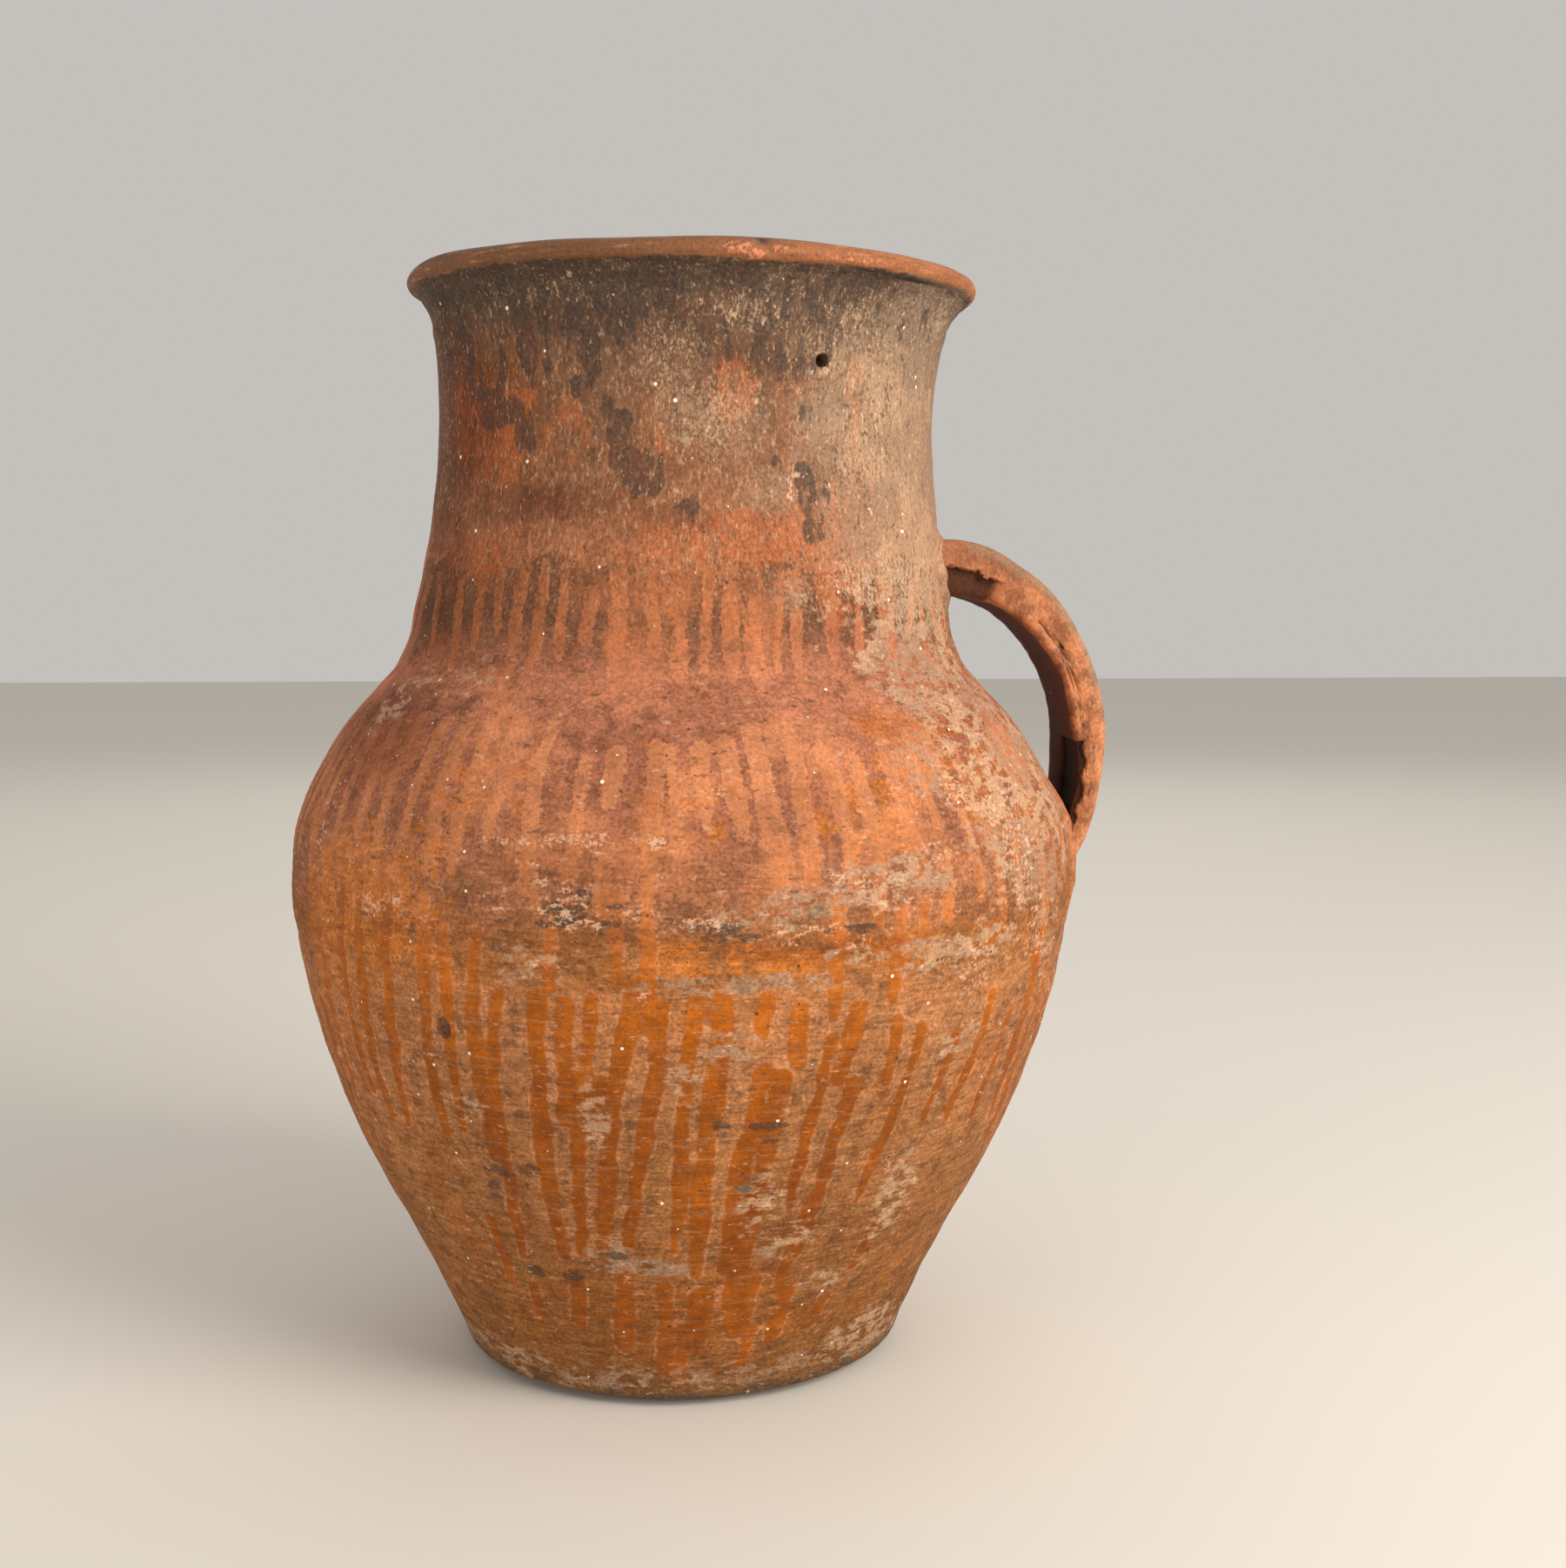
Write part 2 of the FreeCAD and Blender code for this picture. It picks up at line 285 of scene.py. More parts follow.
# How far inside a run of slip each point lies, in millimetres; negative outside.
def slipDepth(angle, height, radius):
    depth = np.full(len(angle), -farOutside)
    for number, (head, tail, top, bottom, width) in enumerate(allRuns()):
        near = (height < top + farOutside) & (height > bottom - farOutside)
        share = np.clip((top - height[near]) / (top - bottom), -0.2, 1.2)
        wander = 0.5 * np.sin(height[near] * 0.09 + number * 2.1)
        wander += 0.22 * np.sin(height[near] * 0.31 + number)
        around = turnBetween(angle[near], head + (tail - head) * share)
        sideways = np.radians(around) * radius[near] - wander
        half = width / 2 * (1 + 0.13 * np.sin(height[near] * 0.13 + number * 1.7)
                            + 0.07 * np.sin(height[near] * 0.47 + number * 0.6))
        half *= 1 + 0.10 * np.exp(-((share - 0.08) / 0.08) ** 2)
        half *= 1 - 0.35 * softStep(0.75, 1.05, share)
        past = np.maximum(0, np.maximum(height[near] - (top - half), (bottom + half) - height[near]))
        depth[near] = np.maximum(depth[near], half - np.hypot(sideways, past))
    # Above the neck's foot the slip covers everything, down to an uneven edge.
    edge = 257.5 + 2.2 * np.sin(np.radians(angle * 9)) + 1.6 * np.sin(np.radians(angle * 23 + 50))
    return np.maximum(depth, np.clip((height - edge) * 0.6, -farOutside, 4))


# Stains, dust and wear, with painted shade among them.
allRound = 1e6                              # a half width that reaches all round the pot
# Soft patches: angle, height, half width, half height, strength.
patches = {
    # smoke and soot; the strong first patch, on the pit at angle -34.9 and height 127, is painted shade in
    # that pit
    "smokeAndShade": [
        (-34.9, 127, 1.8, 2.4, 2.4), (-18, 160, 5, 1.6, 0.95), (-15, 168, 4, 1.4, 0.9),
        (-10, 165, 3, 1.2, 0.8), (4, 156, 10, 1.3, 0.8), (20, 157, 10, 1.3, 0.75), (-25, 85, 2.4, 1.2, 1.3),
        (-30, 82, 3.5, 1.1, 1.3), (-32.5, 76, 1.2, 4.0, 1.3), (-21, 49, 2.4, 1.8, 1.3),
        (-29.5, 48, 2.6, 2.0, 1.3), (-14, 57, 5, 1.2, 0.9), (10, 100, 6, 1.2, 1.0), (3, 102, 2, 2.4, 0.9),
        (-56, 316, 2.5, 9, 1.2), (-50, 308, 7, 2.5, 1.1), (-42, 303, 4.5, 3.5, 1.3), (-58, 330, 3, 8, 0.9),
        (-33, 326, 1.5, 8, 0.9), (-27, 331, 1.6, 8, 0.8), (-36, 320, 1.5, 6, 0.9), (-22, 318, 3, 9, 0.7),
        (-25, 309, 2.4, 3, 1.0), (-19, 301, 2, 6, 1.0), (-15, 290, 2, 6, 1.1), (-17, 295, 3, 2.5, 1.1),
        (-9.5, 288, 2.4, 3.5, 1.1), (-12, 281, 1.6, 4, 0.9), (-2, 274, 4, 3, 0.8), (5, 326, 1.2, 3, 1.0),
        (26, 318, 8, 3, 0.5), (24, 283, 3.5, 5, 1.1), (26, 271, 3, 3, 0.9), (17, 288, 1.6, 2, 0.8),
        (-34, 340, 72, 6.5, 1.0), (24, 341, 34, 5, 0.8), (180, 340, 130, 6.5, 0.95),
        (-20, 329, 62, 9, 0.62), (-45, 318, 26, 14, 0.50), (-8, 322, 40, 12, 0.42), (24, 330, 30, 13, 0.62),
        (18, 318, 16, 9, 0.60), (55, 332, 34, 8, 0.34), (-48, 303, 7, 5, 0.95), (-38, 297, 6, 6.5, 0.85),
        (-17, 299, 8, 4, 0.60), (-14, 288, 5, 10, 0.72), (-8, 284, 5, 6, 0.78), (25.5, 280, 5.5, 8, 0.85),
        (26, 268, 5, 6, 0.50), (-2, 273, 6, 6, 0.45), (24, 304, 5, 6, 0.35), (-17, 163, 7, 3.5, 0.80),
        (-11, 159, 4, 4, 0.75), (-24, 160, 6, 2.5, 0.55), (2, 158, 9, 2.5, 0.6), (-26, 84, 4, 2, 0.8),
        (-31, 83, 5, 2, 0.8), (-33, 74, 2, 6, 0.7), (-22, 48, 4, 2.5, 0.75), (-30, 48, 4, 2.5, 0.7),
        (8, 84, 5, 10, 0.42), (12, 96, 9, 3, 0.4), (4, 98, 4, 4, 0.4), (30, 5, 26, 3.5, 0.70),
        (-10, 4, 30, 3, 0.45), (62, 5, 20, 3.5, 0.6), (-60, 5, 20, 4, 0.5), (150, 300, 40, 22, 0.5),
        (210, 200, 34, 24, 0.34), (250, 316, 40, 16, 0.5), (180, 110, 24, 12, 0.34), (110, 5, 40, 4, 0.6),
        (200, 5, 50, 4, 0.5),
    ],
    "dust": [
        (2, 303, 9, 9, 0.55), (-2, 296, 5, 5, 0.6), (13, 300, 6, 10, 0.45), (16, 279, 12, 8, 0.5),
        (32, 304, 9, 10, 0.9), (52, 182, 24, 26, 0.75), (36, 200, 12, 12, 0.5), (58, 286, 46, 56, 0.95),
        (36, 318, 26, 20, 0.62), (30, 300, 13, 12, 0.80), (8, 300, 16, 16, 0.45), (24, 248, 24, 10, 0.40),
        (52, 226, 30, 22, 0.78), (70, 196, 22, 30, 0.66), (10, 330, 22, 7, 0.45), (-6, 318, 14, 12, 0.42),
        (-3, 302, 9, 10, 0.5), (-30, 336, 40, 5, 0.35), (-74, 300, 16, 40, 0.35), (26, 170, 24, 7, 0.62),
        (18, 165, 22, 6, 0.60), (34, 147, 16, 6, 0.88), (5, 143, 34, 3.0, 0.62), (6, 161, 30, 5, 0.40),
        (44, 150, 12, 9, 0.6), (60, 160, 12, 34, 0.5), (-22, 148, 24, 8, 0.35), (-14, 104, 5, 12, 0.52),
        (4, 124, 8, 6, 0.55), (-2, 116, 7, 5, 0.5), (10, 74, 8, 14, 0.50), (-13, 58, 9, 6, 0.6),
        (-8, 53, 14, 3, 0.7), (16, 60, 12, 8, 0.45), (36, 70, 9, 20, 0.50), (28, 44, 14, 8, 0.42),
        (0, 10, allRound, 7, 0.42), (46, 18, 20, 9, 0.5), (-44, 226, 16, 8, 0.35), (-60, 218, 12, 12, 0.42),
        (40, 120, 16, 8, 0.4), (22, 150, 26, 3, 0.4), (-33, 103, 8, 5, 0.4), (130, 300, 40, 40, 0.5),
        (170, 240, 50, 20, 0.5), (220, 170, 50, 14, 0.45), (160, 150, 40, 20, 0.5), (250, 90, 40, 24, 0.4),
        (140, 70, 40, 22, 0.45),
    ],
    "chafe": [
        (5.5, 346.4, 4.5, 1.6, 1.5), (9.4, 345.0, 2.6, 1.4, 2.0), (13.5, 346.4, 3.0, 1.0, 1.5),
        (30, 346, 14, 1.6, 0.9), (-16, 165, 9, 7, 1.0), (-13, 160, 6, 3, 0.9), (-19, 171, 7, 3, 0.9),
        (0, 160, 14, 2.5, 0.9), (14, 157, 14, 2.5, 0.9), (26, 163, 10, 3, 0.9), (-47, 160, 8, 4, 0.9),
        (27.8, 314.6, 1.6, 1.0, 3.0), (22, 284, 2.6, 0.8, 2.2), (20, 279, 0.8, 4.0, 1.6),
        (-26, 340, 1.0, 1.0, 2.4), (46, 186, 4, 8, 1.1), (40, 192, 5, 6, 1.1), (34, 176, 12, 4, 0.8),
        (50, 176, 14, 20, 0.85), (30, 190, 12, 10, 0.6), (56, 150, 12, 16, 0.8), (40, 140, 12, 12, 0.7),
        (20, 170, 14, 6, 0.7), (-62, 180, 6, 20, 0.8), (-22, 182, 20, 2.0, 0.95), (-14, 183, 9, 2.5, 1.0),
        (-5, 182, 3.5, 2.2, 1.0), (-12.5, 180, 3, 2, 1.0), (2.5, 195, 5, 1.8, 0.95),
        (-22, 176, 6, 1.5, 0.8), (-17, 163, 9, 6.0, 0.95), (-8, 163, 14, 4, 0.62), (-26, 165, 8, 5, 0.7),
        (-43, 163, 14, 3, 0.80), (-38, 158, 12, 4, 0.62), (12, 155, 10, 3, 0.7), (20, 153, 9, 3, 0.68),
        (8, 162, 16, 3, 0.5), (39, 194, 6, 9, 0.72), (44, 188, 4, 8, 0.6), (28, 178, 12, 6, 0.5),
        (30, 236, 20, 8, 0.5), (34, 252, 14, 8, 0.55), (10, 263, 26, 8, 0.5), (-38, 118, 3.5, 4, 0.85),
        (-6, 140, 5, 2.5, 0.8), (12, 128, 16, 1.5, 0.62), (-1, 145, 24, 2, 0.4), (-14, 50, 5, 2, 0.7),
        (32, 84, 3, 6, 0.62), (20, 262, 12, 10, 0.5), (34, 296, 12, 18, 0.45), (-48, 186, 12, 6, 0.45),
        (44, 100, 8, 14, 0.4), (140, 160, 40, 6, 0.6), (230, 150, 50, 5, 0.6), (180, 200, 30, 5, 0.5),
    ],
    # painted shade: the soft dark band in the dip below the neck, the darker left side and other soft dark
    # patches; the patches near height 152 are the dark belt above the body seam
    "beltAndPaintedShade": [
        (-38, 275, 34, 6.5, 0.80), (-4, 271, 14, 5, 0.50), (-20, 254, 60, 5, 0.30), (-46, 252, 16, 8, 0.45),
        (14, 152, 34, 3.5, 0.62), (-10, 154, 26, 3, 0.45), (-36, 155, 24, 4, 0.35), (45, 151, 24, 4, 0.35),
        (-66, 300, 26, 44, 0.95), (-58, 338, 30, 8, 0.5), (-64, 250, 22, 26, 0.8), (-60, 208, 32, 16, 0.85),
        (-6, 197, 6, 8, 0.45), (-14, 172, 20, 8, 0.35), (-58, 240, 24, 40, 0.45), (-70, 170, 26, 60, 0.40),
        (10, 64, 14, 18, 0.35), (2, 222, 20, 5, 0.3), (-30, 232, 30, 6, 0.3), (-22, 330, 60, 10, 0.4),
        (5, 232, 12, 3, 0.4), (180, 152, 120, 5, 0.5), (210, 270, 60, 8, 0.5),
    ],
    "stain": [                              # slip washed over the clay in a thin orange film
        (-55, 307, 14, 5, 1.0), (-44, 303, 16, 7, 0.8), (-50, 290, 18, 14, 0.7), (-28, 296, 10, 12, 0.55),
        (-48, 262, 22, 8, 0.7), (-10, 290, 14, 10, 0.50), (8, 309, 9, 12, 0.6), (20, 311, 10, 5, 0.5),
        (36, 305, 4, 18, 0.75), (39, 285, 5, 14, 0.8), (32, 277, 5, 8, 0.7), (16, 266, 26, 8, 0.9),
        (-4, 264, 20, 7, 0.6), (30, 250, 12, 12, 0.55), (-54, 320, 8, 6, 0.55), (-36, 322, 4, 10, 0.5),
        (2, 330, 16, 7, 0.5), (-50, 158, 32, 22, 1.15), (-56, 132, 18, 30, 1.0), (-62, 100, 14, 40, 0.7),
        (-44, 84, 12, 26, 0.6), (-34, 30, 12, 12, 0.6), (-38, 174, 14, 12, 0.6), (-66, 190, 16, 22, 0.5),
        (-5, 131, 14, 6, 0.5), (-3, 150, 14, 3, 0.6), (-2, 151, 8, 6, 1.0), (10, 150, 15, 5.5, 0.95),
        (28, 150, 14, 5, 0.8), (42, 150, 12, 5, 0.7), (14, 153, 22, 3.5, 0.65), (-30, 140, 10, 6, 0.5),
        (-3, 37, 24, 9, 0.95), (-22, 40, 14, 10, 0.75), (10, 45, 14, 8, 0.9), (22, 31, 12, 6, 0.7),
        (-10, 22, 18, 8, 0.7), (2, 28, 12, 8, 0.8), (48, 196, 20, 22, 0.85), (34, 206, 16, 12, 0.8),
        (12, 84, 12, 5, 0.7), (12, 60, 14, 10, 0.5), (-26, 70, 12, 14, 0.4), (30, 100, 10, 10, 0.5),
        (46, 112, 14, 26, 0.55), (62, 176, 14, 26, 0.45), (24, 190, 24, 14, 0.6), (-30, 196, 24, 12, 0.5),
        (0, 190, 20, 12, 0.5), (0, 206, 30, 8, 0.35), (40, 26, 12, 10, 0.5), (-45, 60, 10, 26, 0.6),
        (150, 280, 50, 20, 0.6), (220, 300, 30, 16, 0.6), (130, 140, 40, 30, 0.5), (200, 60, 60, 20, 0.7),
        (260, 150, 30, 26, 0.7), (180, 190, 60, 12, 0.4),
    ],
    "warm": [
        (0, 60, allRound, 92, 1.0), (-52, 150, 34, 22, 1.0), (-44, 242, 22, 16, 0.85),
        (-50, 300, 24, 22, 0.9), (14, 150, 36, 6, 0.7), (-40, 190, 20, 26, 0.45), (-2, 248, 30, 12, 0.25),
        (190, 150, 90, 30, 0.8), (200, 250, 60, 26, 0.5),
    ],
}


def patchField(kind, angle, height, radius):
    field = np.zeros(len(angle))
    for middle, level, halfWidth, halfHeight, strength in patches[kind]:
        sideways = np.radians(turnBetween(angle, middle)) * radius / halfWidth
        reach = sideways ** 2 + ((height - level) / halfHeight) ** 2
        field = np.maximum(field, strength * np.exp(-0.7 * reach ** 1.5))
    return field


def paintFields(piece, points, isOutside):
    angle, height, radius = potPlace(points)
    addField(piece, "slip", np.where(isOutside, slipDepth(angle, height, radius), -farOutside))
    for kind in patches:
        addField(piece, kind, np.where(isOutside, patchField(kind, angle, height, radius), 0))
    addField(piece, "inside", np.where(isOutside, 0, 1))


# Thrown pieces.
skin = {
    "rings": [                              # height, spread, rise, how far it wanders
        (148, 4.0, 0.34, 0.4), (141.5, 3.5, -0.24, 0.4), (222, 2.6, 0.35, 1.0), (264, 6.0, -0.30, 1.0),
        (331, 1.8, 0.30, 0.5),
    ],
    "dents": ((95, 1, 0.34), (22, 2, 0.10)),          # size, seed, rise
    "throwingLines": (3.4, 0.05),           # from one line to the next, rise
    "slowRipple": (17.0, 0.10),
    "slipRise": 0.16,
    "innerLines": (7.5, 0.35),
}


# The hand-made surface: shallow dents, throwing lines, the ridge at the body seam, slip a hair proud.
def skinRelief(points):
    angle, height, radius = potPlace(points)
    drift = 1.2 * unevenness(points, 160, 5)
    relief = sum(rise * unevenness(points, size, seed) for size, seed, rise in skin["dents"])
    spacing, rise = skin["throwingLines"]
    lines = np.sin(2 * math.pi * (height + drift) / spacing)
    relief += rise * lines * (0.5 + 0.5 * unevenness(points, 60, 3))
    spacing, rise = skin["slowRipple"]
    ripple = np.sin(2 * math.pi * (height + 2 * drift) / spacing)
    relief += rise * ripple * softStep(345, 240, height)
    for level, spread, rise, wander in skin["rings"]:
        relief += rise * np.exp(-((height - level - wander * drift) / spread) ** 2)
    depth = slipDepth(angle, height, radius)
    return relief + skin["slipRise"] * softStep(-0.8, 0.8, depth) * softStep(257, 250, height)


pits = [                                    # angle, height, radius, depth of flakes and stones lost
    (-34.9, 127, 2.0, 1.6), (12.6, 202, 1.6, 0.9), (-9.5, 157, 1.8, 1.0), (-22.5, 54.5, 1.3, 1.0),
    (-27, 84, 1.6, 0.8), (31, 158, 1.6, 0.8), (4.2, 123, 1.2, 0.8), (-46, 244, 1.2, 0.8),
    (-14, 88, 1.4, 0.6), (55, 140, 2.0, 1.0), (120, 180, 2.4, 1.2), (170, 120, 2.0, 1.2),
    (205, 250, 2.0, 1.0), (250, 140, 2.2, 1.2), (285, 90, 1.8, 1.0), (190, 70, 2.4, 1.2),
    (140, 300, 1.8, 0.9),
]


def pitRelief(points):
    angle, height, radius = potPlace(points)
    relief = np.zeros(len(points))
    for middle, level, size, depth in pits:
        sideways = np.radians(turnBetween(angle, middle)) * radius
        away = np.hypot(sideways, (height - level) * 0.8) / size
        relief -= depth * (1 - softStep(0.7, 1.25, away))
    return relief


# Draws a profile point by point from one corner, then spins it round the jug's axis.
def spun(name, profile):
    deselectAll()
    bpy.ops.mesh.primitive_plane_add(size=0.001, location=(0, 0, 0))
    piece = bpy.context.object
    piece.name = name
    bpy.ops.object.mode_set(mode="EDIT")
    bpy.ops.mesh.merge(type="CENTER")
    start = profile[0]
    bpy.ops.transform.translate(value=(start[0] * mm, 0, start[1] * mm))
    for here, there in zip(profile, profile[1:]):
        step = ((there[0] - here[0]) * mm, 0, (there[1] - here[1]) * mm)
        bpy.ops.mesh.extrude_region_move(TRANSFORM_OT_translate={"value": step})
    bpy.ops.mesh.select_all(action="SELECT")
    bpy.ops.mesh.spin(steps=pot["turns"], angle=2 * math.pi, center=(0, 0, 0), axis=(0, 0, 1))
    bpy.ops.mesh.select_all(action="SELECT")
    bpy.ops.mesh.remove_doubles(threshold=0.00001)
    bpy.ops.mesh.normals_make_consistent(inside=False)
    bpy.ops.object.mode_set(mode="OBJECT")
    return piece


def spaced(start, end, step):
    return np.linspace(start, end, max(2, int(round(abs(end - start) / step)) + 1))


# A closed wall section: up the outside, over the joint, down the inside, back across the lower joint.
def wallProfile(bottom, top):
    up = spaced(bottom, top, pot["outerStep"])
    down = spaced(top, bottom, pot["innerStep"])
    profile = list(zip(outerRadius(up), up)) + list(zip(innerRadius(down), down))
    return profile + profile[:1]


def finishThrown(piece, isOutside):
    points = pointsOf(piece)
    _, height, radius = potPlace(points)
    paintFields(piece, points, isOutside)
    spacing, rise = skin["innerLines"]
    innerLines = rise * np.sin(2 * math.pi * (height + radius * 0.3) / spacing)
    outer = skinRelief(points) + pitRelief(points)
    swell(points, np.where(isOutside, outer, 0.5 * unevenness(points, 60, 8) + innerLines))
    placePoints(piece, settle(points))
    smoothBy(piece, 40)


jointRidge = 2.0                            # height of the ridge on each CAD piece above its joint
joints = {                                  # heights at which the thrown pieces meet
    "baseTop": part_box("base_disc")[1].z / mm - jointRidge,
    "seam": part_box("lower_body")[1].z / mm - jointRidge,
    "neckFoot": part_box("upper_body")[1].z / mm - jointRidge,
    "neckTop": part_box("rim_roll")[0].z / mm,
}


slack = 0.6                                 # points this little inside the outline still count as outer face


def outsideTest(points):
    radius = np.hypot(points[:, 0], points[:, 1])
    return radius > outerRadius(points[:, 2]) - slack


def buildWalls():
    spans = {
        "lowerBody": (joints["baseTop"], joints["seam"]),
        "upperBody": (joints["seam"], joints["neckFoot"]),
        "neckRing": (joints["neckFoot"], joints["neckTop"]),
    }
    pieces = {}
    for name, (bottom, top) in spans.items():
        pieces[name] = spun(name, wallProfile(bottom, top))
        print("spun", name)
    return pieces


piercing = {"angle": 26.8, "height": 317.6, "innerRadius": 1.52, "outerRadius": 2.375, "length": 14}


def pierceNeck(neck):
    angle = math.radians(piercing["angle"])
    outward = (math.sin(angle), -math.cos(angle))
    middle = float(outerRadius(piercing["height"])) - pot["wall"] / 2
    deselectAll()
    place = (outward[0] * middle * mm, outward[1] * middle * mm, piercing["height"] * mm)
    bpy.ops.mesh.primitive_cone_add(vertices=24, radius1=piercing["innerRadius"] * mm,
                                    radius2=piercing["outerRadius"] * mm, depth=piercing["length"] * mm,
                                    location=place, rotation=(math.radians(90), 0, angle))
    awl = bpy.context.object
    hollow = neck.modifiers.new("pierced", "BOOLEAN")
    hollow.operation = "DIFFERENCE"
    hollow.solver = "EXACT"
    hollow.object = awl
    deselectAll()
    neck.select_set(True)
    bpy.context.view_layer.objects.active = neck
    bpy.ops.object.modifier_apply(modifier=hollow.name)
    bpy.data.objects.remove(awl)


walls = buildWalls()
pierceNeck(walls["neckRing"])
for wallPiece in walls.values():
    finishThrown(wallPiece, outsideTest(pointsOf(wallPiece)))
print("walls finished")

# Base disc.
base = {"edge": 5.0, "edgeTurn": 62, "restRadius": 62.5, "floorRings": 5.5, "ringRise": 0.45}


def buildBase():
    top = joints["baseTop"]
    edge, rest = base["edge"], base["restRadius"]
    curve = [(rest + edge * math.sin(a), edge * (1 - math.cos(a)))
             for a in np.linspace(0, math.radians(base["edgeTurn"]), 9)]
    profile = [(r, 0) for r in np.linspace(0, rest, 12)[:-1]] + curve
    side = spaced(curve[-1][1] + 0.8, top, 0.9)
    profile += list(zip(outerRadius(side), side))
    profile += [(r, top) for r in np.linspace(float(innerRadius(top)), 0, 40)]
    disc = spun("baseDisc", profile)
    points = pointsOf(disc)
    _, height, radius = potPlace(points)
    isOutside = (radius > rest - 4) & (height < top + 0.1) & (radius > outerRadius(top) - 8)
    isOutside &= (height < top - 0.2) | (radius > outerRadius(top) - slack)
    paintFields(disc, points, isOutside)
    isFloor = (height > top - 0.1) & (radius < innerRadius(top) - 2)
    points[:, 2] += base["ringRise"] * np.sin(2 * math.pi * radius / base["floorRings"]) * isFloor
    swell(points, np.where(isOutside, skinRelief(points), 0) * softStep(0, 4, points[:, 2]))
    placePoints(disc, settle(points))
    smoothBy(disc, 40)
    return disc


baseDisc = buildBase()
print("base finished")

# Rolled rim.
rim = {
    "lip": [                                # height, radius: up the flare, round the lip, to its crown
        (334.0, 83.3), (336.5, 84.3), (338.6, 85.4), (340.4, 86.7), (341.4, 87.4), (342.2, 88.4),
        (343.0, 89.7), (344.0, 90.9), (345.2, 91.6), (346.4, 91.8), (347.6, 91.4), (348.7, 90.4),
        (349.5, 88.9), (350.0, 87.0),
    ],
    "chips": [                              # angle, height, size, depth
        (10.6, 347.2, 2.6, 0.9), (12.5, 345.8, 2.0, 0.6), (-58, 347, 2.0, 0.5), (96, 346, 2.6, 0.8),
        (200, 347, 3.0, 0.9),
    ],
    "groove": 343.0,
    "rubbedAbove": 343.7,
    "crackShade": 342.9,
    "notch": (10.4, 348.6),                 # angle, height
}


def rimProfile():
    stations = np.array(rim["lip"])
    steps = np.concatenate([[0], np.cumsum(np.hypot(*np.diff(stations, axis=0).T))])
    along = spaced(0, steps[-1], 0.45)
    z = easedThrough(list(zip(steps, stations[:, 0])), along)
    r = easedThrough(list(zip(steps, stations[:, 1])), along)
    profile = list(zip(r, z))
    crownR, top = profile[-1]
    bottom = joints["neckTop"]
    inward = crownR - float(innerRadius(bottom))
    for a in np.linspace(90, 0, 18)[1:]:
        turn = math.radians(a)
        profile.append((crownR - inward * math.cos(turn), top - (top - bottom) * (1 - math.sin(turn))))
    return profile + profile[:1]


def rimRelief(points):
    angle, height, radius = potPlace(points)
    lip = softStep(339, 344, height)
    relief = lip * (0.30 * np.sin(np.radians(angle * 2 + 30)) + 0.16 * unevenness(points, 30, 21))
    groove = rim["groove"] + 0.3 * np.sin(np.radians(angle * 5)) + 0.2 * np.sin(np.radians(angle * 13 + 40))
    cracked = softStep(16, 34, angle) * softStep(125, 105, angle)
    relief -= (0.35 + 0.75 * cracked) * np.exp(-((height - groove) / (0.8 - 0.4 * cracked)) ** 2)
    for middle, level, size, depth in rim["chips"]:
        sideways = np.radians(turnBetween(angle, middle)) * radius
        away = np.hypot(sideways, height - level) / size
        relief -= depth * (1 - softStep(0.55, 1.1, away + 0.15 * unevenness(points, 3, 22)))
    return relief


# Painted shade in a crack under the roll on the handle's side, and in a notch in the lip.
def crackField(points):
    angle, height, radius = potPlace(points)
    crackHeight = rim["crackShade"] + 0.4 * unevenness(points, 16, 24)
    opened = softStep(20, 30, angle) * softStep(122, 110, angle) * (0.55 + 0.45 * unevenness(points, 20, 25))
    crackShade = np.clip(opened, 0, 1) * np.exp(-((height - crackHeight) / 0.5) ** 2)
    notchAngle, notchHeight = rim["notch"]
    notch = np.exp(-((angle - notchAngle) * 1.6 / 2.0) ** 2 - ((height - notchHeight) / 1.3) ** 2)
    return np.clip(crackShade + 0.9 * notch, 0, 1) * (radius > 84)


def buildRim():
    roll = spun("rimRoll", rimProfile())
    points = pointsOf(roll)
    _, height, radius = potPlace(points)
    isOutside = radius > np.where(height < 341, outerRadius(height) - 1.5, 84.5)
    paintFields(roll, points, isOutside)
    addField(roll, "rubbed", (height - rim["rubbedAbove"]) * (radius > 80))
    addField(roll, "crackShade", crackField(points))
    fromNeck = np.where(isOutside, skinRelief(points), 0) * softStep(342, 338, height)
    swell(points, fromNeck + rimRelief(points) * isOutside)
    points[:, 2] += 0.35 * unevenness(points, 70, 23) * softStep(342, 348, height)
    placePoints(roll, settle(points))
    smoothBy(roll, 50)
    return roll


rimRoll = buildRim()
print("rim finished")

# Strap handle.
strap = {
    "rootHeight": 257.5, "standHeight": 200.0, "reach": 133.0, "tailCurve": 94.0, "tailTurn": 33.0,
    "width": 43.0, "thickness": 11.8, "rootThickness": 18.6, "tailThickness": 9.4, "corner": 2.6,
    "rings": 200, "facets": 132,
    "bend": 0.66,                           # share of its length at which the loop hands over to the tail
    "press": 4.0,                           # how deep its ends sit in the wall
    "flares": (0.10, 0.16),                 # how much wider it grows at its top and at its tail
    "roundedTail": 3.2,                     # how far the edges of the outer face fall away low down
    "grooves": (-8.5, 7.5),                 # two grooves left by the thumb down the outer face
    "grooveDepth": 0.8,
    "innerHollow": 0.8,
    "lumps": 0.28,
}


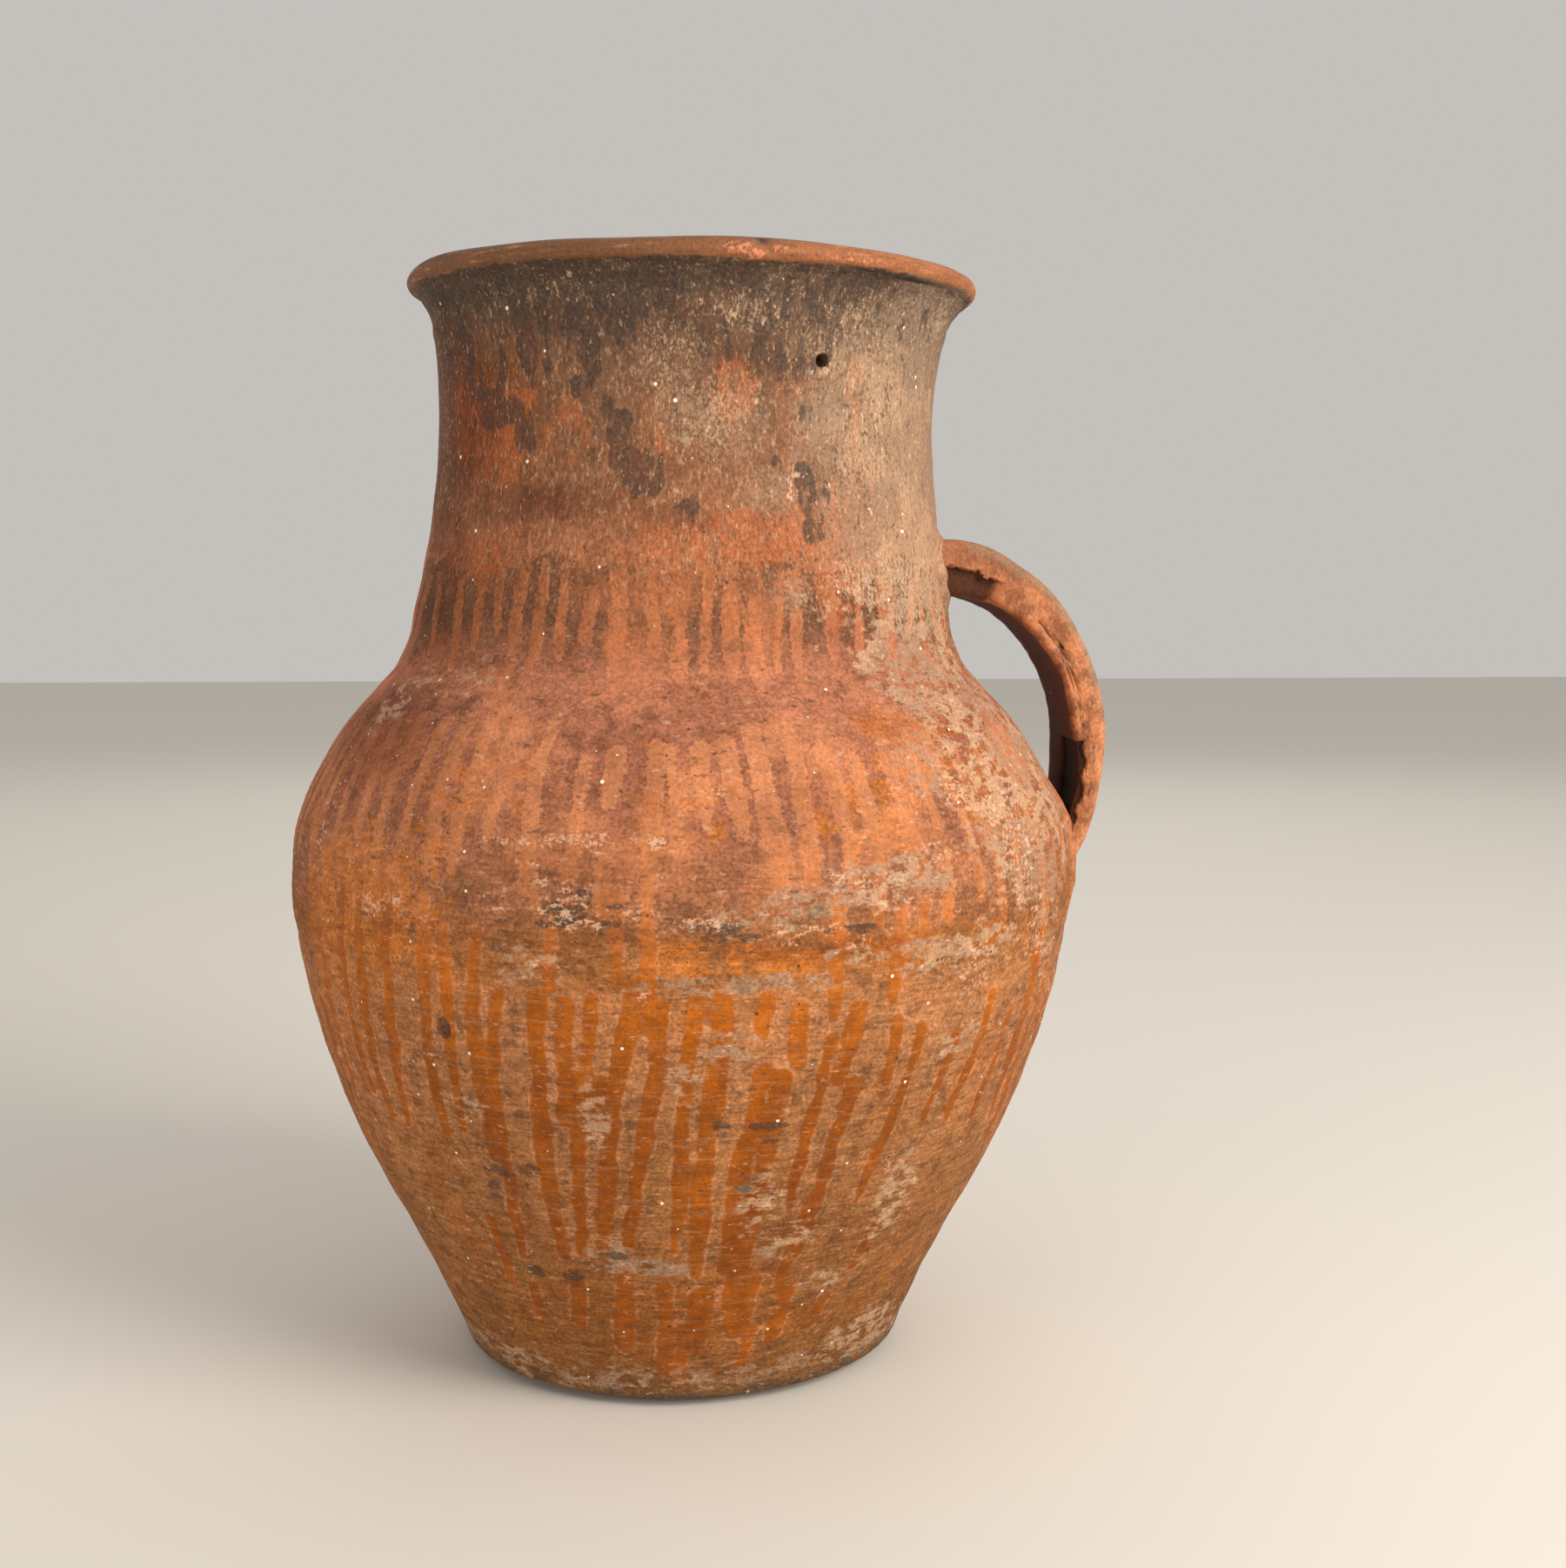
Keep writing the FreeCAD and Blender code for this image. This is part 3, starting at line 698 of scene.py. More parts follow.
# Middle line of the strap: share 0 at the neck, 1 inside the belly.
def strapLine(share):
    start = float(outerRadius(strap["rootHeight"])) - 3.0
    a = strap["reach"] - start
    b = strap["rootHeight"] - strap["standHeight"]
    bend = strap["bend"]
    t = np.clip(share / bend, 0, 1) * math.pi / 2
    tail = np.clip((share - bend) / (1 - bend), 0, 1) * math.radians(strap["tailTurn"])
    r = start + a * np.sin(t) - strap["tailCurve"] * (1 - np.cos(tail))
    z = strap["standHeight"] + b * np.cos(t) - strap["tailCurve"] * np.sin(tail)
    inLoop = share <= bend
    outR = np.where(inLoop, b * np.sin(t), np.cos(tail))
    outZ = np.where(inLoop, a * np.cos(t), -np.sin(tail))
    length = np.hypot(outR, outZ)
    thick = strap["thickness"] + (strap["rootThickness"] - strap["thickness"]) * np.cos(t) ** 3
    thick = thick - (strap["thickness"] - strap["tailThickness"]) * softStep(0.62, 0.86, share)
    return r, z, outR / length, outZ / length, thick


strapMarks = {
    "creases": [                            # level (1 outer, -1 inner), start, end, width, depth
        (-0.42, 0.30, 0.66, 0.09, 0.9), (-0.60, 0.36, 0.70, 0.08, 0.7), (-0.25, 0.38, 0.44, 0.05, 1.6),
        (0.02, 0.54, 0.66, 0.05, 1.1), (0.30, 0.60, 0.80, 0.07, 0.5), (0.15, 0.26, 0.50, 0.12, 0.4),
        (0.55, 0.10, 0.30, 0.10, 0.4), (-0.10, 0.69, 0.73, 0.10, 1.0), (0.30, 0.70, 0.735, 0.06, 0.8),
    ],
    "flap": {"below": 8.6, "depth": 2.4, "to": 0.19},
    "peel": {"from": 0.640, "to": 0.86, "depth": 1.3},
    "crotch": {"at": 0.895, "reach": 0.03, "depth": 2.0},
}


# Section: a rounded rectangle. Gives the distance across and outwards from the middle line.
def strapSection(turn, thick):
    corner = strap["corner"]
    flatWide = strap["width"] / 2 - corner
    flatDeep = thick / 2 - corner
    quarter = np.where(np.abs(turn) < math.pi / 2, np.abs(turn), math.pi - np.abs(turn)) / (math.pi / 2)
    walked = quarter * (flatWide + corner * math.pi / 2 + flatDeep)
    bend = np.clip((walked - flatWide) / corner, 0, math.pi / 2)
    across = np.minimum(walked, flatWide) + corner * np.sin(bend)
    out = flatDeep + corner * np.cos(bend) - np.maximum(walked - flatWide - corner * math.pi / 2, 0)
    return across * np.sign(np.sin(turn)), out * np.where(np.abs(turn) < math.pi / 2, 1, -1)


def strapTube():
    deselectAll()
    bpy.ops.mesh.primitive_circle_add(vertices=strap["facets"], radius=0.02, fill_type="NGON")
    piece = bpy.context.object
    piece.name = "strapHandle"
    bpy.ops.object.mode_set(mode="EDIT")
    bpy.ops.mesh.select_all(action="SELECT")
    for _ in range(strap["rings"]):
        bpy.ops.mesh.extrude_region_move(TRANSFORM_OT_translate={"value": (0, 0, 0.001)})
    bpy.ops.mesh.select_all(action="SELECT")
    bpy.ops.mesh.fill_holes(sides=0)
    bpy.ops.object.mode_set(mode="OBJECT")
    return piece


def creaseDepth(share, faceShare, rough):
    groove = np.zeros(len(share))
    for number, (level, start, end, width, depth) in enumerate(strapMarks["creases"]):
        wandering = level + 0.07 * np.sin(share * 31 + number * 2) + 0.04 * rough
        fade = softStep(start, start + 0.02, share) * softStep(end, end - 0.02, share)
        groove = np.maximum(groove, depth * fade * np.exp(-((faceShare - wandering) / width) ** 2))
    return groove


# A peeled patch along the inner corner above the lower root.
def peelField(share, faceShare, across, around, rough):
    mark = strapMarks["peel"]
    start = mark["from"] + 0.006 * rough + 0.010 * unevenness(around, 16, 35)
    peel = softStep(start, start + 0.010, share) * softStep(mark["to"], mark["to"] - 0.05, share)
    edge = 0.10 * rough - 0.36
    return peel * softStep(edge, edge - 0.12, faceShare) * softStep(2, -3, across)


def buildStrap():
    piece = strapTube()
    points = pointsOf(piece)
    share = points[:, 2] / strap["rings"]
    turn = np.arctan2(points[:, 1], points[:, 0])
    r, z, outR, outZ, thick = strapLine(share)
    across, out = strapSection(turn, thick)
    topFlare, tailFlare = strap["flares"]
    flare = 1 + topFlare * softStep(0.12, 0.0, share) + tailFlare * softStep(0.80, 1.0, share)
    flare = flare + 0.02 * np.sin(share * 21)
    across = across * flare
    edgeShare = np.abs(across) / (strap["width"] / 2 * flare)
    faceShare = np.clip(out / (thick / 2), -1, 1)
    isOuter = faceShare > 0
    isInner = faceShare < 0
    out = out - np.sign(out) * 0.7 * edgeShare ** 3
    out = out + strap["innerHollow"] * (1 - edgeShare ** 2) * isInner
    out = out - strap["roundedTail"] * edgeShare ** 2 * softStep(0.78, 0.97, share) * isOuter
    for middle in strap["grooves"]:
        fromGroove = across - middle - 1.5 * np.sin(share * 9)
        out = out - strap["grooveDepth"] * np.exp(-(fromGroove / 3.4) ** 2) * isOuter
    nearSide = softStep(0.80, 0.98, edgeShare) * (across < 0)     # the side face towards the front
    around = np.stack([share * 190, faceShare * 5, np.sin(turn) * 3], 1)
    rough = unevenness(around, 7, 31)
    groove = creaseDepth(share, faceShare, rough)
    # The folded flap at the neck: below its wavy edge the side face is set back.
    flap = strapMarks["flap"]
    belowTop = thick / 2 * (1 - faceShare) + 0.5 * rough
    reach = softStep(flap["to"], flap["to"] - 0.05, share)
    setBack = flap["depth"] * softStep(flap["below"] - 0.3, flap["below"] + 0.5, belowTop) * reach
    flapLine = np.exp(-((belowTop - flap["below"] - 0.3) / 0.45) ** 2) * reach
    lip = 0.4 * np.exp(-((belowTop - flap["below"] + 0.8) / 0.6) ** 2) * reach
    recess = nearSide * reach * softStep(flap["below"], flap["below"] + 0.8, belowTop)
    # The peeled patch, and a broken hollow in the crotch.
    peel = peelField(share, faceShare, across, around, rough)
    hollow = strapMarks["crotch"]
    crotch = np.exp(-((share - hollow["at"]) / hollow["reach"]) ** 4)
    crotch = crotch * softStep(0.2, -0.5, faceShare + 0.3 * rough)
    setBack = setBack + crotch * hollow["depth"] + peel * strapMarks["peel"]["depth"]
    across = across - np.sign(np.sin(turn)) * nearSide * (groove + setBack - lip)
    out = out + peel * 0.9 * (edgeShare < 0.97)
    lumps = unevenness(np.stack([share * 190, across, out * 2], 1), 30, 33)
    out = out + strap["lumps"] * lumps + 0.08 * rough
    across = across * (1 + 0.02 * unevenness(np.stack([share * 190, out, out], 1), 40, 34))
    local = np.stack([r + out * outR, across, z + out * outZ], 1)
    # Where the strap enters the wall it is pressed no deeper than the wall takes.
    radius = np.hypot(local[:, 0], local[:, 1])
    grow = np.maximum(radius, outerRadius(local[:, 2]) - strap["press"]) / np.maximum(radius, 1)
    local[:, 0] *= grow
    local[:, 1] *= grow
    # The underside, lighter towards the near edge, the recess under the flap, the creases and the peeled
    # hollow feed the painted shade below.
    underside = softStep(-0.5, -0.95, faceShare) * (0.30 + 0.70 * softStep(0.98, 0.62, edgeShare))
    outerFace = softStep(0.35, 0.95, faceShare)
    fields = {
        "innerSootAndShade": np.maximum(underside, 0.95 * recess),
        "outerEdge": outerFace * softStep(0.02, 0.10, share) * softStep(0.95, 0.35, share),
        "creaseShade": np.clip(nearSide * (groove / 1.2 + 1.1 * flapLine + 0.50 * crotch), 0, 1),
        "peel": np.maximum(peel, 0.48 * recess),
        "rise": (local[:, 2] - 180) / 90,
        "smear": softStep(0.06, 0.0, share) + softStep(0.86, 0.97, share),
    }
    for name, values in fields.items():
        addField(piece, name, values)
    placePoints(piece, settle(local))
    bpy.ops.object.mode_set(mode="EDIT")
    bpy.ops.mesh.select_all(action="SELECT")
    bpy.ops.mesh.normals_make_consistent(inside=False)
    bpy.ops.object.mode_set(mode="OBJECT")
    smoothBy(piece, 50)
    return piece


strapHandle = buildStrap()
print("strap finished")

# Luting pads.
padThickness = 1.6
tuckedUnder = 0.9                           # how far a pad's thin border sinks into the wall
lutes = {
    "upperLute": {"bottom": 238, "top": 276, "half": 29, "rise": 1.7, "reach": 4.5, "cells": 110},
    "lowerLute": {"bottom": 138, "top": 196, "half": 34, "rise": 2.0, "reach": 8.0, "cells": 120},
}


# Distance from the strap's skin, at points just outside the pot's wall; negative inside the strap.
def strapDistance(points):
    softCorner = 2
    shares = np.linspace(0, 1, 240)
    r, z, outR, outZ, thick = strapLine(shares)
    nearest = np.full(len(points), 1e9)
    for i in range(len(shares)):
        dr = points[:, 0] - r[i]
        dz = points[:, 2] - z[i]
        out = dr * outR[i] + dz * outZ[i]
        along = -dr * outZ[i] + dz * outR[i]
        halfWide = strap["width"] / 2 * (1.1 if shares[i] < 0.5 else 1.12)
        sideways = np.abs(points[:, 1]) - halfWide + softCorner
        upward = np.abs(out) - thick[i] / 2 + softCorner
        away = np.hypot(np.maximum(sideways, 0), np.maximum(upward, 0)) - softCorner
        away += np.minimum(np.maximum(sideways, upward), 0)
        nearest = np.minimum(nearest, np.hypot(np.maximum(away, 0), along) + np.minimum(away, 0))
    return nearest


def buildLute(name, look):
    deselectAll()
    bpy.ops.mesh.primitive_grid_add(x_subdivisions=look["cells"], y_subdivisions=look["cells"], size=2,
                                    location=(0, 0, 0))
    piece = bpy.context.object
    piece.name = name
    points = pointsOf(piece) * mm
    across = points[:, 0] * look["half"]
    height = look["bottom"] + (points[:, 1] + 1) / 2 * (look["top"] - look["bottom"])
    radius = outerRadius(height)
    turn = across / radius
    wall = np.stack([radius * np.cos(turn), radius * np.sin(turn), height], 1)
    away = strapDistance(wall + np.array([1.5, 0, 0]))
    uneven = unevenness(wall, 14, 41)
    rise = look["rise"] * np.clip(1 - away / (look["reach"] * (1 + 0.25 * uneven)), 0, 1) ** 1.7
    rise = rise * (1 + 0.15 * unevenness(wall, 6, 42))
    border = np.minimum(1 - np.abs(points[:, 0]), 1 - np.abs(points[:, 1]))
    sunk = tuckedUnder * softStep(look["reach"] * 0.7, look["reach"] * 1.1, away)
    rise = np.where(border < 0.03, 0, rise) - sunk
    grow = 1 + rise / radius
    wall[:, 0] *= grow
    wall[:, 1] *= grow
    paintFields(piece, wall, np.full(len(wall), True))
    placePoints(piece, settle(wall))
    thicken = piece.modifiers.new("thickness", "SOLIDIFY")
    thicken.thickness = padThickness * mm
    thicken.offset = -1
    bpy.ops.object.modifier_apply(modifier=thicken.name)
    smoothBy(piece, 60)
    return piece


upperLute = buildLute("upperLute", lutes["upperLute"])
lowerLute = buildLute("lowerLute", lutes["lowerLute"])
print("lutes finished")


# Building blocks for the materials.
def lightValue(eyeValue):                   # 0 to 255 as the eye sees it
    return ((eyeValue / 255 + 0.055) / 1.055) ** 2.4 if eyeValue > 10 else eyeValue / 255 / 12.92


def paint(red, green, blue):
    return (lightValue(red), lightValue(green), lightValue(blue), 1)


def newGroup(name, inputs, outputs):
    tree = bpy.data.node_groups.new(name, "ShaderNodeTree")
    for kind, label in inputs:
        tree.interface.new_socket(label, in_out="INPUT", socket_type=kind)
    for kind, label in outputs:
        tree.interface.new_socket(label, in_out="OUTPUT", socket_type=kind)
    return tree, tree.nodes.new("NodeGroupInput").outputs, tree.nodes.new("NodeGroupOutput").inputs


def feed(tree, socket, value):
    if isinstance(value, bpy.types.NodeSocket):
        tree.links.new(value, socket)
    else:
        socket.default_value = value


def calc(tree, operation, first, second):
    node = tree.nodes.new("ShaderNodeMath")
    node.operation = operation
    feed(tree, node.inputs[0], first)
    feed(tree, node.inputs[1], second)
    return node.outputs[0]


def times(tree, first, second):
    return calc(tree, "MULTIPLY", first, second)


def swing(tree, pattern, amount):           # a pattern round 0.5 becomes one round nothing
    return times(tree, calc(tree, "SUBTRACT", pattern, 0.5), amount)


def remap(tree, value, low, high, toLow=0.0, toHigh=1.0, smooth=True):
    node = tree.nodes.new("ShaderNodeMapRange")
    node.interpolation_type = "SMOOTHSTEP" if smooth else "LINEAR"
    for socket, amount in zip(node.inputs[:5], (value, low, high, toLow, toHigh)):
        feed(tree, socket, amount)
    return node.outputs[0]


def blendColor(tree, amount, first, second, mode="MIX"):
    node = tree.nodes.new("ShaderNodeMix")
    node.data_type = "RGBA"
    node.blend_type = mode
    feed(tree, node.inputs[0], amount)
    feed(tree, node.inputs[6], first)
    feed(tree, node.inputs[7], second)
    return node.outputs[2]


def tinted(tree, under, over, mask, strength):
    return blendColor(tree, times(tree, mask, strength), under, over)


def shaded(tree, color, tone):
    return blendColor(tree, 1.0, color, tone, "MULTIPLY")


def noise(tree, vector, scale, detail, roughness, stretch, shift):
    place = tree.nodes.new("ShaderNodeMapping")
    feed(tree, place.inputs["Vector"], vector)
    place.inputs["Location"].default_value = shift
    place.inputs["Scale"].default_value = stretch
    node = tree.nodes.new("ShaderNodeTexNoise")
    tree.links.new(place.outputs[0], node.inputs["Vector"])
    node.inputs["Scale"].default_value = scale
    node.inputs["Detail"].default_value = detail
    node.inputs["Roughness"].default_value = roughness
    return node.outputs[0]


def fieldOf(tree, name):
    node = tree.nodes.new("ShaderNodeAttribute")
    node.attribute_name = name
    return node.outputs["Fac"]


grainPatterns = {                           # scale, detail, roughness, stretch, shift
    "Blotch": (150, 4, 0.62, (1, 1, 1), (0, 0, 0)),
    "Cloud": (34, 3, 0.55, (1, 1, 1), (3, 1, 2)),
    "Grain": (950, 3, 0.60, (1, 1, 1), (0, 0, 0)),
    "Upright": (900, 3, 0.65, (1, 1, 0.42), (0, 0, 0)),
    "Level": (900, 3, 0.60, (0.10, 0.10, 1), (0, 0, 0)),
    "Smudge": (230, 4, 0.60, (1, 1, 0.34), (0, 0, 0)),
    "Fleck": (330, 4, 0.66, (0.5, 0.5, 1), (0, 0, 0)),
}


# Fired clay seen close: blotches, grain, rain-like upright marks and level wheel lines.
def makeGrainGroup():
    labels = [("NodeSocketFloat", label) for label in grainPatterns]
    tree, given, result = newGroup("firedClayGrain", [("NodeSocketVector", "Vector")], labels)
    for label, pattern in grainPatterns.items():
        feed(tree, result[label], noise(tree, given["Vector"], *pattern))
    return tree


# Specks of lime or stone: sparse round dots of uneven size.
def makeSpeckGroup():
    inputs = [("NodeSocketVector", "Vector"), ("NodeSocketFloat", "Scale"), ("NodeSocketFloat", "Size")]
    tree, given, result = newGroup("mineralSpecks", inputs, [("NodeSocketFloat", "Mask")])
    cells = tree.nodes.new("ShaderNodeTexVoronoi")
    feed(tree, cells.inputs["Vector"], given["Vector"])
    feed(tree, cells.inputs["Scale"], given["Scale"])
    pick = tree.nodes.new("ShaderNodeSeparateColor")
    tree.links.new(cells.outputs["Color"], pick.inputs[0])
    reach = times(tree, calc(tree, "POWER", pick.outputs[0], 2.5), given["Size"])
    inside = calc(tree, "SUBTRACT", reach, cells.outputs["Distance"])
    feed(tree, result["Mask"], remap(tree, inside, 0.0, 0.02))
    return tree


# A propensity field broken up by a pattern into a patchy mask with an organic edge.
def makePatchGroup():
    inputs = [("NodeSocketFloat", label) for label in ("Field", "Pattern", "Breakup", "Softness")]
    tree, given, result = newGroup("patchyEdge", inputs, [("NodeSocketFloat", "Mask")])
    broken = swing(tree, given["Pattern"], given["Breakup"])
    total = times(tree, given["Field"], calc(tree, "ADD", broken, 1.0))
    low = calc(tree, "SUBTRACT", 0.5, given["Softness"])
    high = calc(tree, "ADD", 0.5, given["Softness"])
    feed(tree, result["Mask"], remap(tree, total, low, high))
    return tree


grainGroup = makeGrainGroup()
speckGroup = makeSpeckGroup()
patchGroup = makePatchGroup()


def useGroup(tree, group, **values):
    node = tree.nodes.new("ShaderNodeGroup")
    node.node_tree = group
    for label, value in values.items():
        feed(tree, node.inputs[label], value)
    return node.outputs


def patchMask(tree, field, pattern, breakup, softness):
    node = useGroup(tree, patchGroup, Field=field, Pattern=pattern, Breakup=breakup, Softness=softness)
    return node["Mask"]


def specks(tree, place, scale, size):
    return useGroup(tree, speckGroup, Vector=place, Scale=scale, Size=size)["Mask"]


def startMaterial(name):
    material = bpy.data.materials.new(name)
    material.use_nodes = True
    tree = material.node_tree
    surface = tree.nodes["Principled BSDF"]
    surface.inputs["Specular IOR Level"].default_value = 0.22
    place = tree.nodes.new("ShaderNodeTexCoord").outputs["Object"]
    return material, tree, surface, place


def bumpInto(tree, surface, height):
    bump = tree.nodes.new("ShaderNodeBump")
    feed(tree, bump.inputs["Height"], height)
    bump.inputs["Distance"].default_value = 0.8 * mm
    bump.inputs["Strength"].default_value = 0.8
    tree.links.new(bump.outputs[0], surface.inputs["Normal"])


clayLook = {
    "clay": [                               # height in millimetres, colour of the bare clay there
        (0, paint(124, 90, 56)), (14, paint(136, 86, 40)), (40, paint(146, 91, 43)),
        (80, paint(158, 103, 57)), (110, paint(165, 108, 64)), (136, paint(170, 111, 68)),
        (148, paint(162, 100, 50)), (154, paint(150, 92, 46)), (164, paint(158, 100, 66)),
        (186, paint(154, 94, 67)), (208, paint(160, 99, 72)), (224, paint(174, 109, 79)),
        (240, paint(112, 74, 52)), (256, paint(134, 85, 57)), (268, paint(150, 98, 67)),
        (290, paint(118, 82, 58)), (306, paint(104, 77, 57)), (322, paint(96, 74, 57)),
        (338, paint(92, 75, 61)),
    ],
    "slip": [                               # and of the slip
        (0, paint(146, 88, 44)), (30, paint(144, 73, 4)), (70, paint(140, 69, 0)), (110, paint(152, 77, 0)),
        (136, paint(180, 96, 14)), (150, paint(184, 100, 30)), (166, paint(190, 117, 70)),
        (190, paint(192, 122, 80)), (212, paint(190, 122, 82)), (226, paint(184, 114, 78)),
        (240, paint(178, 106, 66)), (260, paint(170, 106, 70)), (284, paint(140, 93, 63)),
        (304, paint(134, 90, 62)), (322, paint(116, 84, 61)), (338, paint(98, 78, 62)),
    ],
    "burnt": paint(152, 78, 0),
    "ochre": paint(196, 112, 36),
    "stainHigh": paint(172, 92, 48),
    "clayDark": paint(94, 58, 34),
    "dust": paint(194, 162, 130),
    "dustCool": paint(150, 128, 106),
    # the colour of smoke, also used for painted shade in cracks and pits
    "smokeAndShade": paint(50, 45, 42),
    "smokeWarm": paint(84, 62, 47),
    "chafe": paint(216, 172, 140),
    "lime": paint(240, 228, 210),
    "inside": paint(112, 74, 52),
    "shadeTone": paint(172, 146, 126),
    # the rubbed roll's colour on its lit side, and a painted shaded copy of it for the side away from the
    # lamp
    "rubbed": paint(158, 99, 62),
    "rubbedInPaintedShade": paint(116, 78, 50),
    "rubbedPale": paint(200, 136, 96),
    "salmon": paint(212, 132, 97),
}
rampTop = 350.0                             # the colour ramps end at this height
zones = {                                   # heights in metres between which the skin changes its character
    "neck": (0.225, 0.262),                 # upright rain marks above
    "wheel": (0.205, 0.165),                # level wheel lines below
    "patchyRuns": (0.150, 0.175),
    "floodedRuns": (0.155, 0.180),
    "strongFilm": (0.125, 0.150),
    "ochre": (0.10, 0.135),
    "paleFilm": (0.17, 0.24),
    "crown": (0.3480, 0.3500),
}
amounts = {                                 # how strongly each mark shows
    "clayDark": 0.55, "neckFilm": 0.55, "neckWear": 0.36, "neckPale": 0.34, "smudges": 0.34,
    "wheelLines": 0.28, "paleLines": 0.15, "beltAndPaintedShade": 0.75, "dust": 0.60, "smokeAndShade": 0.70, "darkScuffs": 0.65,
    "chafe": 0.72, "stonePits": 0.8, "insideSoot": 0.6,
}


def heightRamp(tree, height, stops):
    node = tree.nodes.new("ShaderNodeValToRGB")
    feed(tree, node.inputs[0], remap(tree, height, 0, rampTop * mm, smooth=False))
    ramp = node.color_ramp
    ramp.interpolation = "LINEAR"
    while len(ramp.elements) < len(stops):
        ramp.elements.new(0.5)
    for element, (level, color) in zip(ramp.elements, stops):
        element.position = level / rampTop
        element.color = color
    return node.outputs[0]


def meets(tree, height, zone):
    return remap(tree, height, *zones[zone])


# Everything that the layers of the skin share: patterns, height and where the neck and the wheel lines are.
def skinMarks(tree, place):
    grain = useGroup(tree, grainGroup, Vector=place)
    marks = {label.lower(): grain[label] for label in grainPatterns}
    split = tree.nodes.new("ShaderNodeSeparateXYZ")
    tree.links.new(place, split.inputs[0])
    marks["towardsHandle"] = split.outputs[0]
    marks["height"] = split.outputs[2]
    marks["onNeck"] = meets(tree, marks["height"], "neck")
    marks["onWheel"] = meets(tree, marks["height"], "wheel")
    marks["flecked"] = blendColor(tree, marks["onNeck"], marks["fleck"], marks["smudge"])
    return marks


# Bare clay with the slip runs over it. Gives the colour and how much of it is slip.
def slippedColor(tree, place, look, marks):
    height, blotch, cloud, fleck = (marks[name] for name in ("height", "blotch", "cloud", "fleck"))
    wavyHeight = calc(tree, "ADD", height, swing(tree, cloud, 0.02))
    clay = heightRamp(tree, wavyHeight, look["clay"])
    clay = tinted(tree, clay, look["clayDark"], remap(tree, blotch, 0.50, 0.66), amounts["clayDark"])
    slip = heightRamp(tree, wavyHeight, look["slip"])
    burnt = times(tree, fieldOf(tree, "warm"), remap(tree, cloud, 0.35, 0.65, 0.25, 0.9))
    slip = blendColor(tree, burnt, slip, look["burnt"])
    poured = noise(tree, place, 110, 3, 0.55, stretch=(1, 1, 0.10), shift=(1, 6, 3))
    slip = shaded(tree, slip, remap(tree, poured, 0.36, 0.64, 0.90, 1.12))
    ragged = calc(tree, "ADD", swing(tree, blotch, 3.4), swing(tree, marks["grain"], 2.2))
    depth = calc(tree, "ADD", fieldOf(tree, "slip"), ragged)
    slipMask = remap(tree, depth, -0.35, 0.35)
    slipEdge = times(tree, remap(tree, depth, -1.1, -0.2), remap(tree, depth, 0.5, -0.2))
    slipMask = times(tree, slipMask, remap(tree, blotch, 0.64, 0.54, 0.60, 1.0))
    patchy = remap(tree, fleck, 0.60, 0.50, 0.50, 1.0)
    slipMask = times(tree, slipMask, remap(tree, height, *zones["patchyRuns"], 1.0, patchy))
    flooded = times(tree, remap(tree, cloud, 0.46, 0.62, 0.0, 0.62), meets(tree, height, "floodedRuns"))
    slipMask = calc(tree, "MAXIMUM", slipMask, flooded)

    filmColor = blendColor(tree, meets(tree, height, "ochre"), look["burnt"], look["ochre"])
    filmColor = blendColor(tree, meets(tree, height, "paleFilm"), filmColor, look["stainHigh"])
    filmMarks = blendColor(tree, marks["onNeck"], blotch, marks["smudge"])
    film = patchMask(tree, fieldOf(tree, "stain"), filmMarks, 5.5, 0.17)
    clay = tinted(tree, clay, filmColor, film, remap(tree, height, *zones["strongFilm"], 0.34, 0.62))
    color = blendColor(tree, slipMask, clay, slip)
    color = tinted(tree, color, filmColor, times(tree, film, marks["onNeck"]), amounts["neckFilm"])
    lowEdge = times(tree, slipEdge, marks["onWheel"])
    color = tinted(tree, color, look["rubbedPale"], lowEdge, remap(tree, fleck, 0.44, 0.58, 0.08, 0.45))
    return color, slipMask


# The neck's slip is rubbed thin and rain-marked; lower down wheel lines cross everything.
def markedColor(tree, look, marks, color, slipMask):
    upright, level, onNeck, onWheel = (marks[name] for name in ("upright", "level", "onNeck", "onWheel"))
    worn = times(tree, remap(tree, upright, 0.52, 0.60), onNeck)
    color = tinted(tree, color, look["clayDark"], worn, amounts["neckWear"])
    pale = times(tree, remap(tree, upright, 0.44, 0.37), onNeck)
    color = tinted(tree, color, look["dust"], pale, amounts["neckPale"])
    smudged = times(tree, remap(tree, marks["smudge"], 0.54, 0.61), onNeck)
    color = tinted(tree, color, look["clayDark"], smudged, amounts["smudges"])
    lines = times(tree, remap(tree, level, 0.50, 0.62), onWheel)
    lines = times(tree, lines, remap(tree, slipMask, 0, 1, 1.0, 0.35))
    color = tinted(tree, color, look["clayDark"], lines, amounts["wheelLines"])
    paleLines = times(tree, remap(tree, level, 0.44, 0.34), onWheel)
    color = tinted(tree, color, look["dust"], paleLines, amounts["paleLines"])
    color = shaded(tree, color, marks["tone"])
    color = shaded(tree, color, remap(tree, marks["flecked"], 0.36, 0.64, 0.84, 1.13))
    color = shaded(tree, color, remap(tree, marks["cloud"], 0.30, 0.70, 0.88, 1.10))
    # Painted shade, and the dark belt above the body seam, darken the colour here.
    beltAndPaintedShade = patchMask(tree, fieldOf(tree, "beltAndPaintedShade"), marks["cloud"], 2.0, 0.45)
    return tinted(tree, color, shaded(tree, color, look["shadeTone"]), beltAndPaintedShade, amounts["beltAndPaintedShade"])
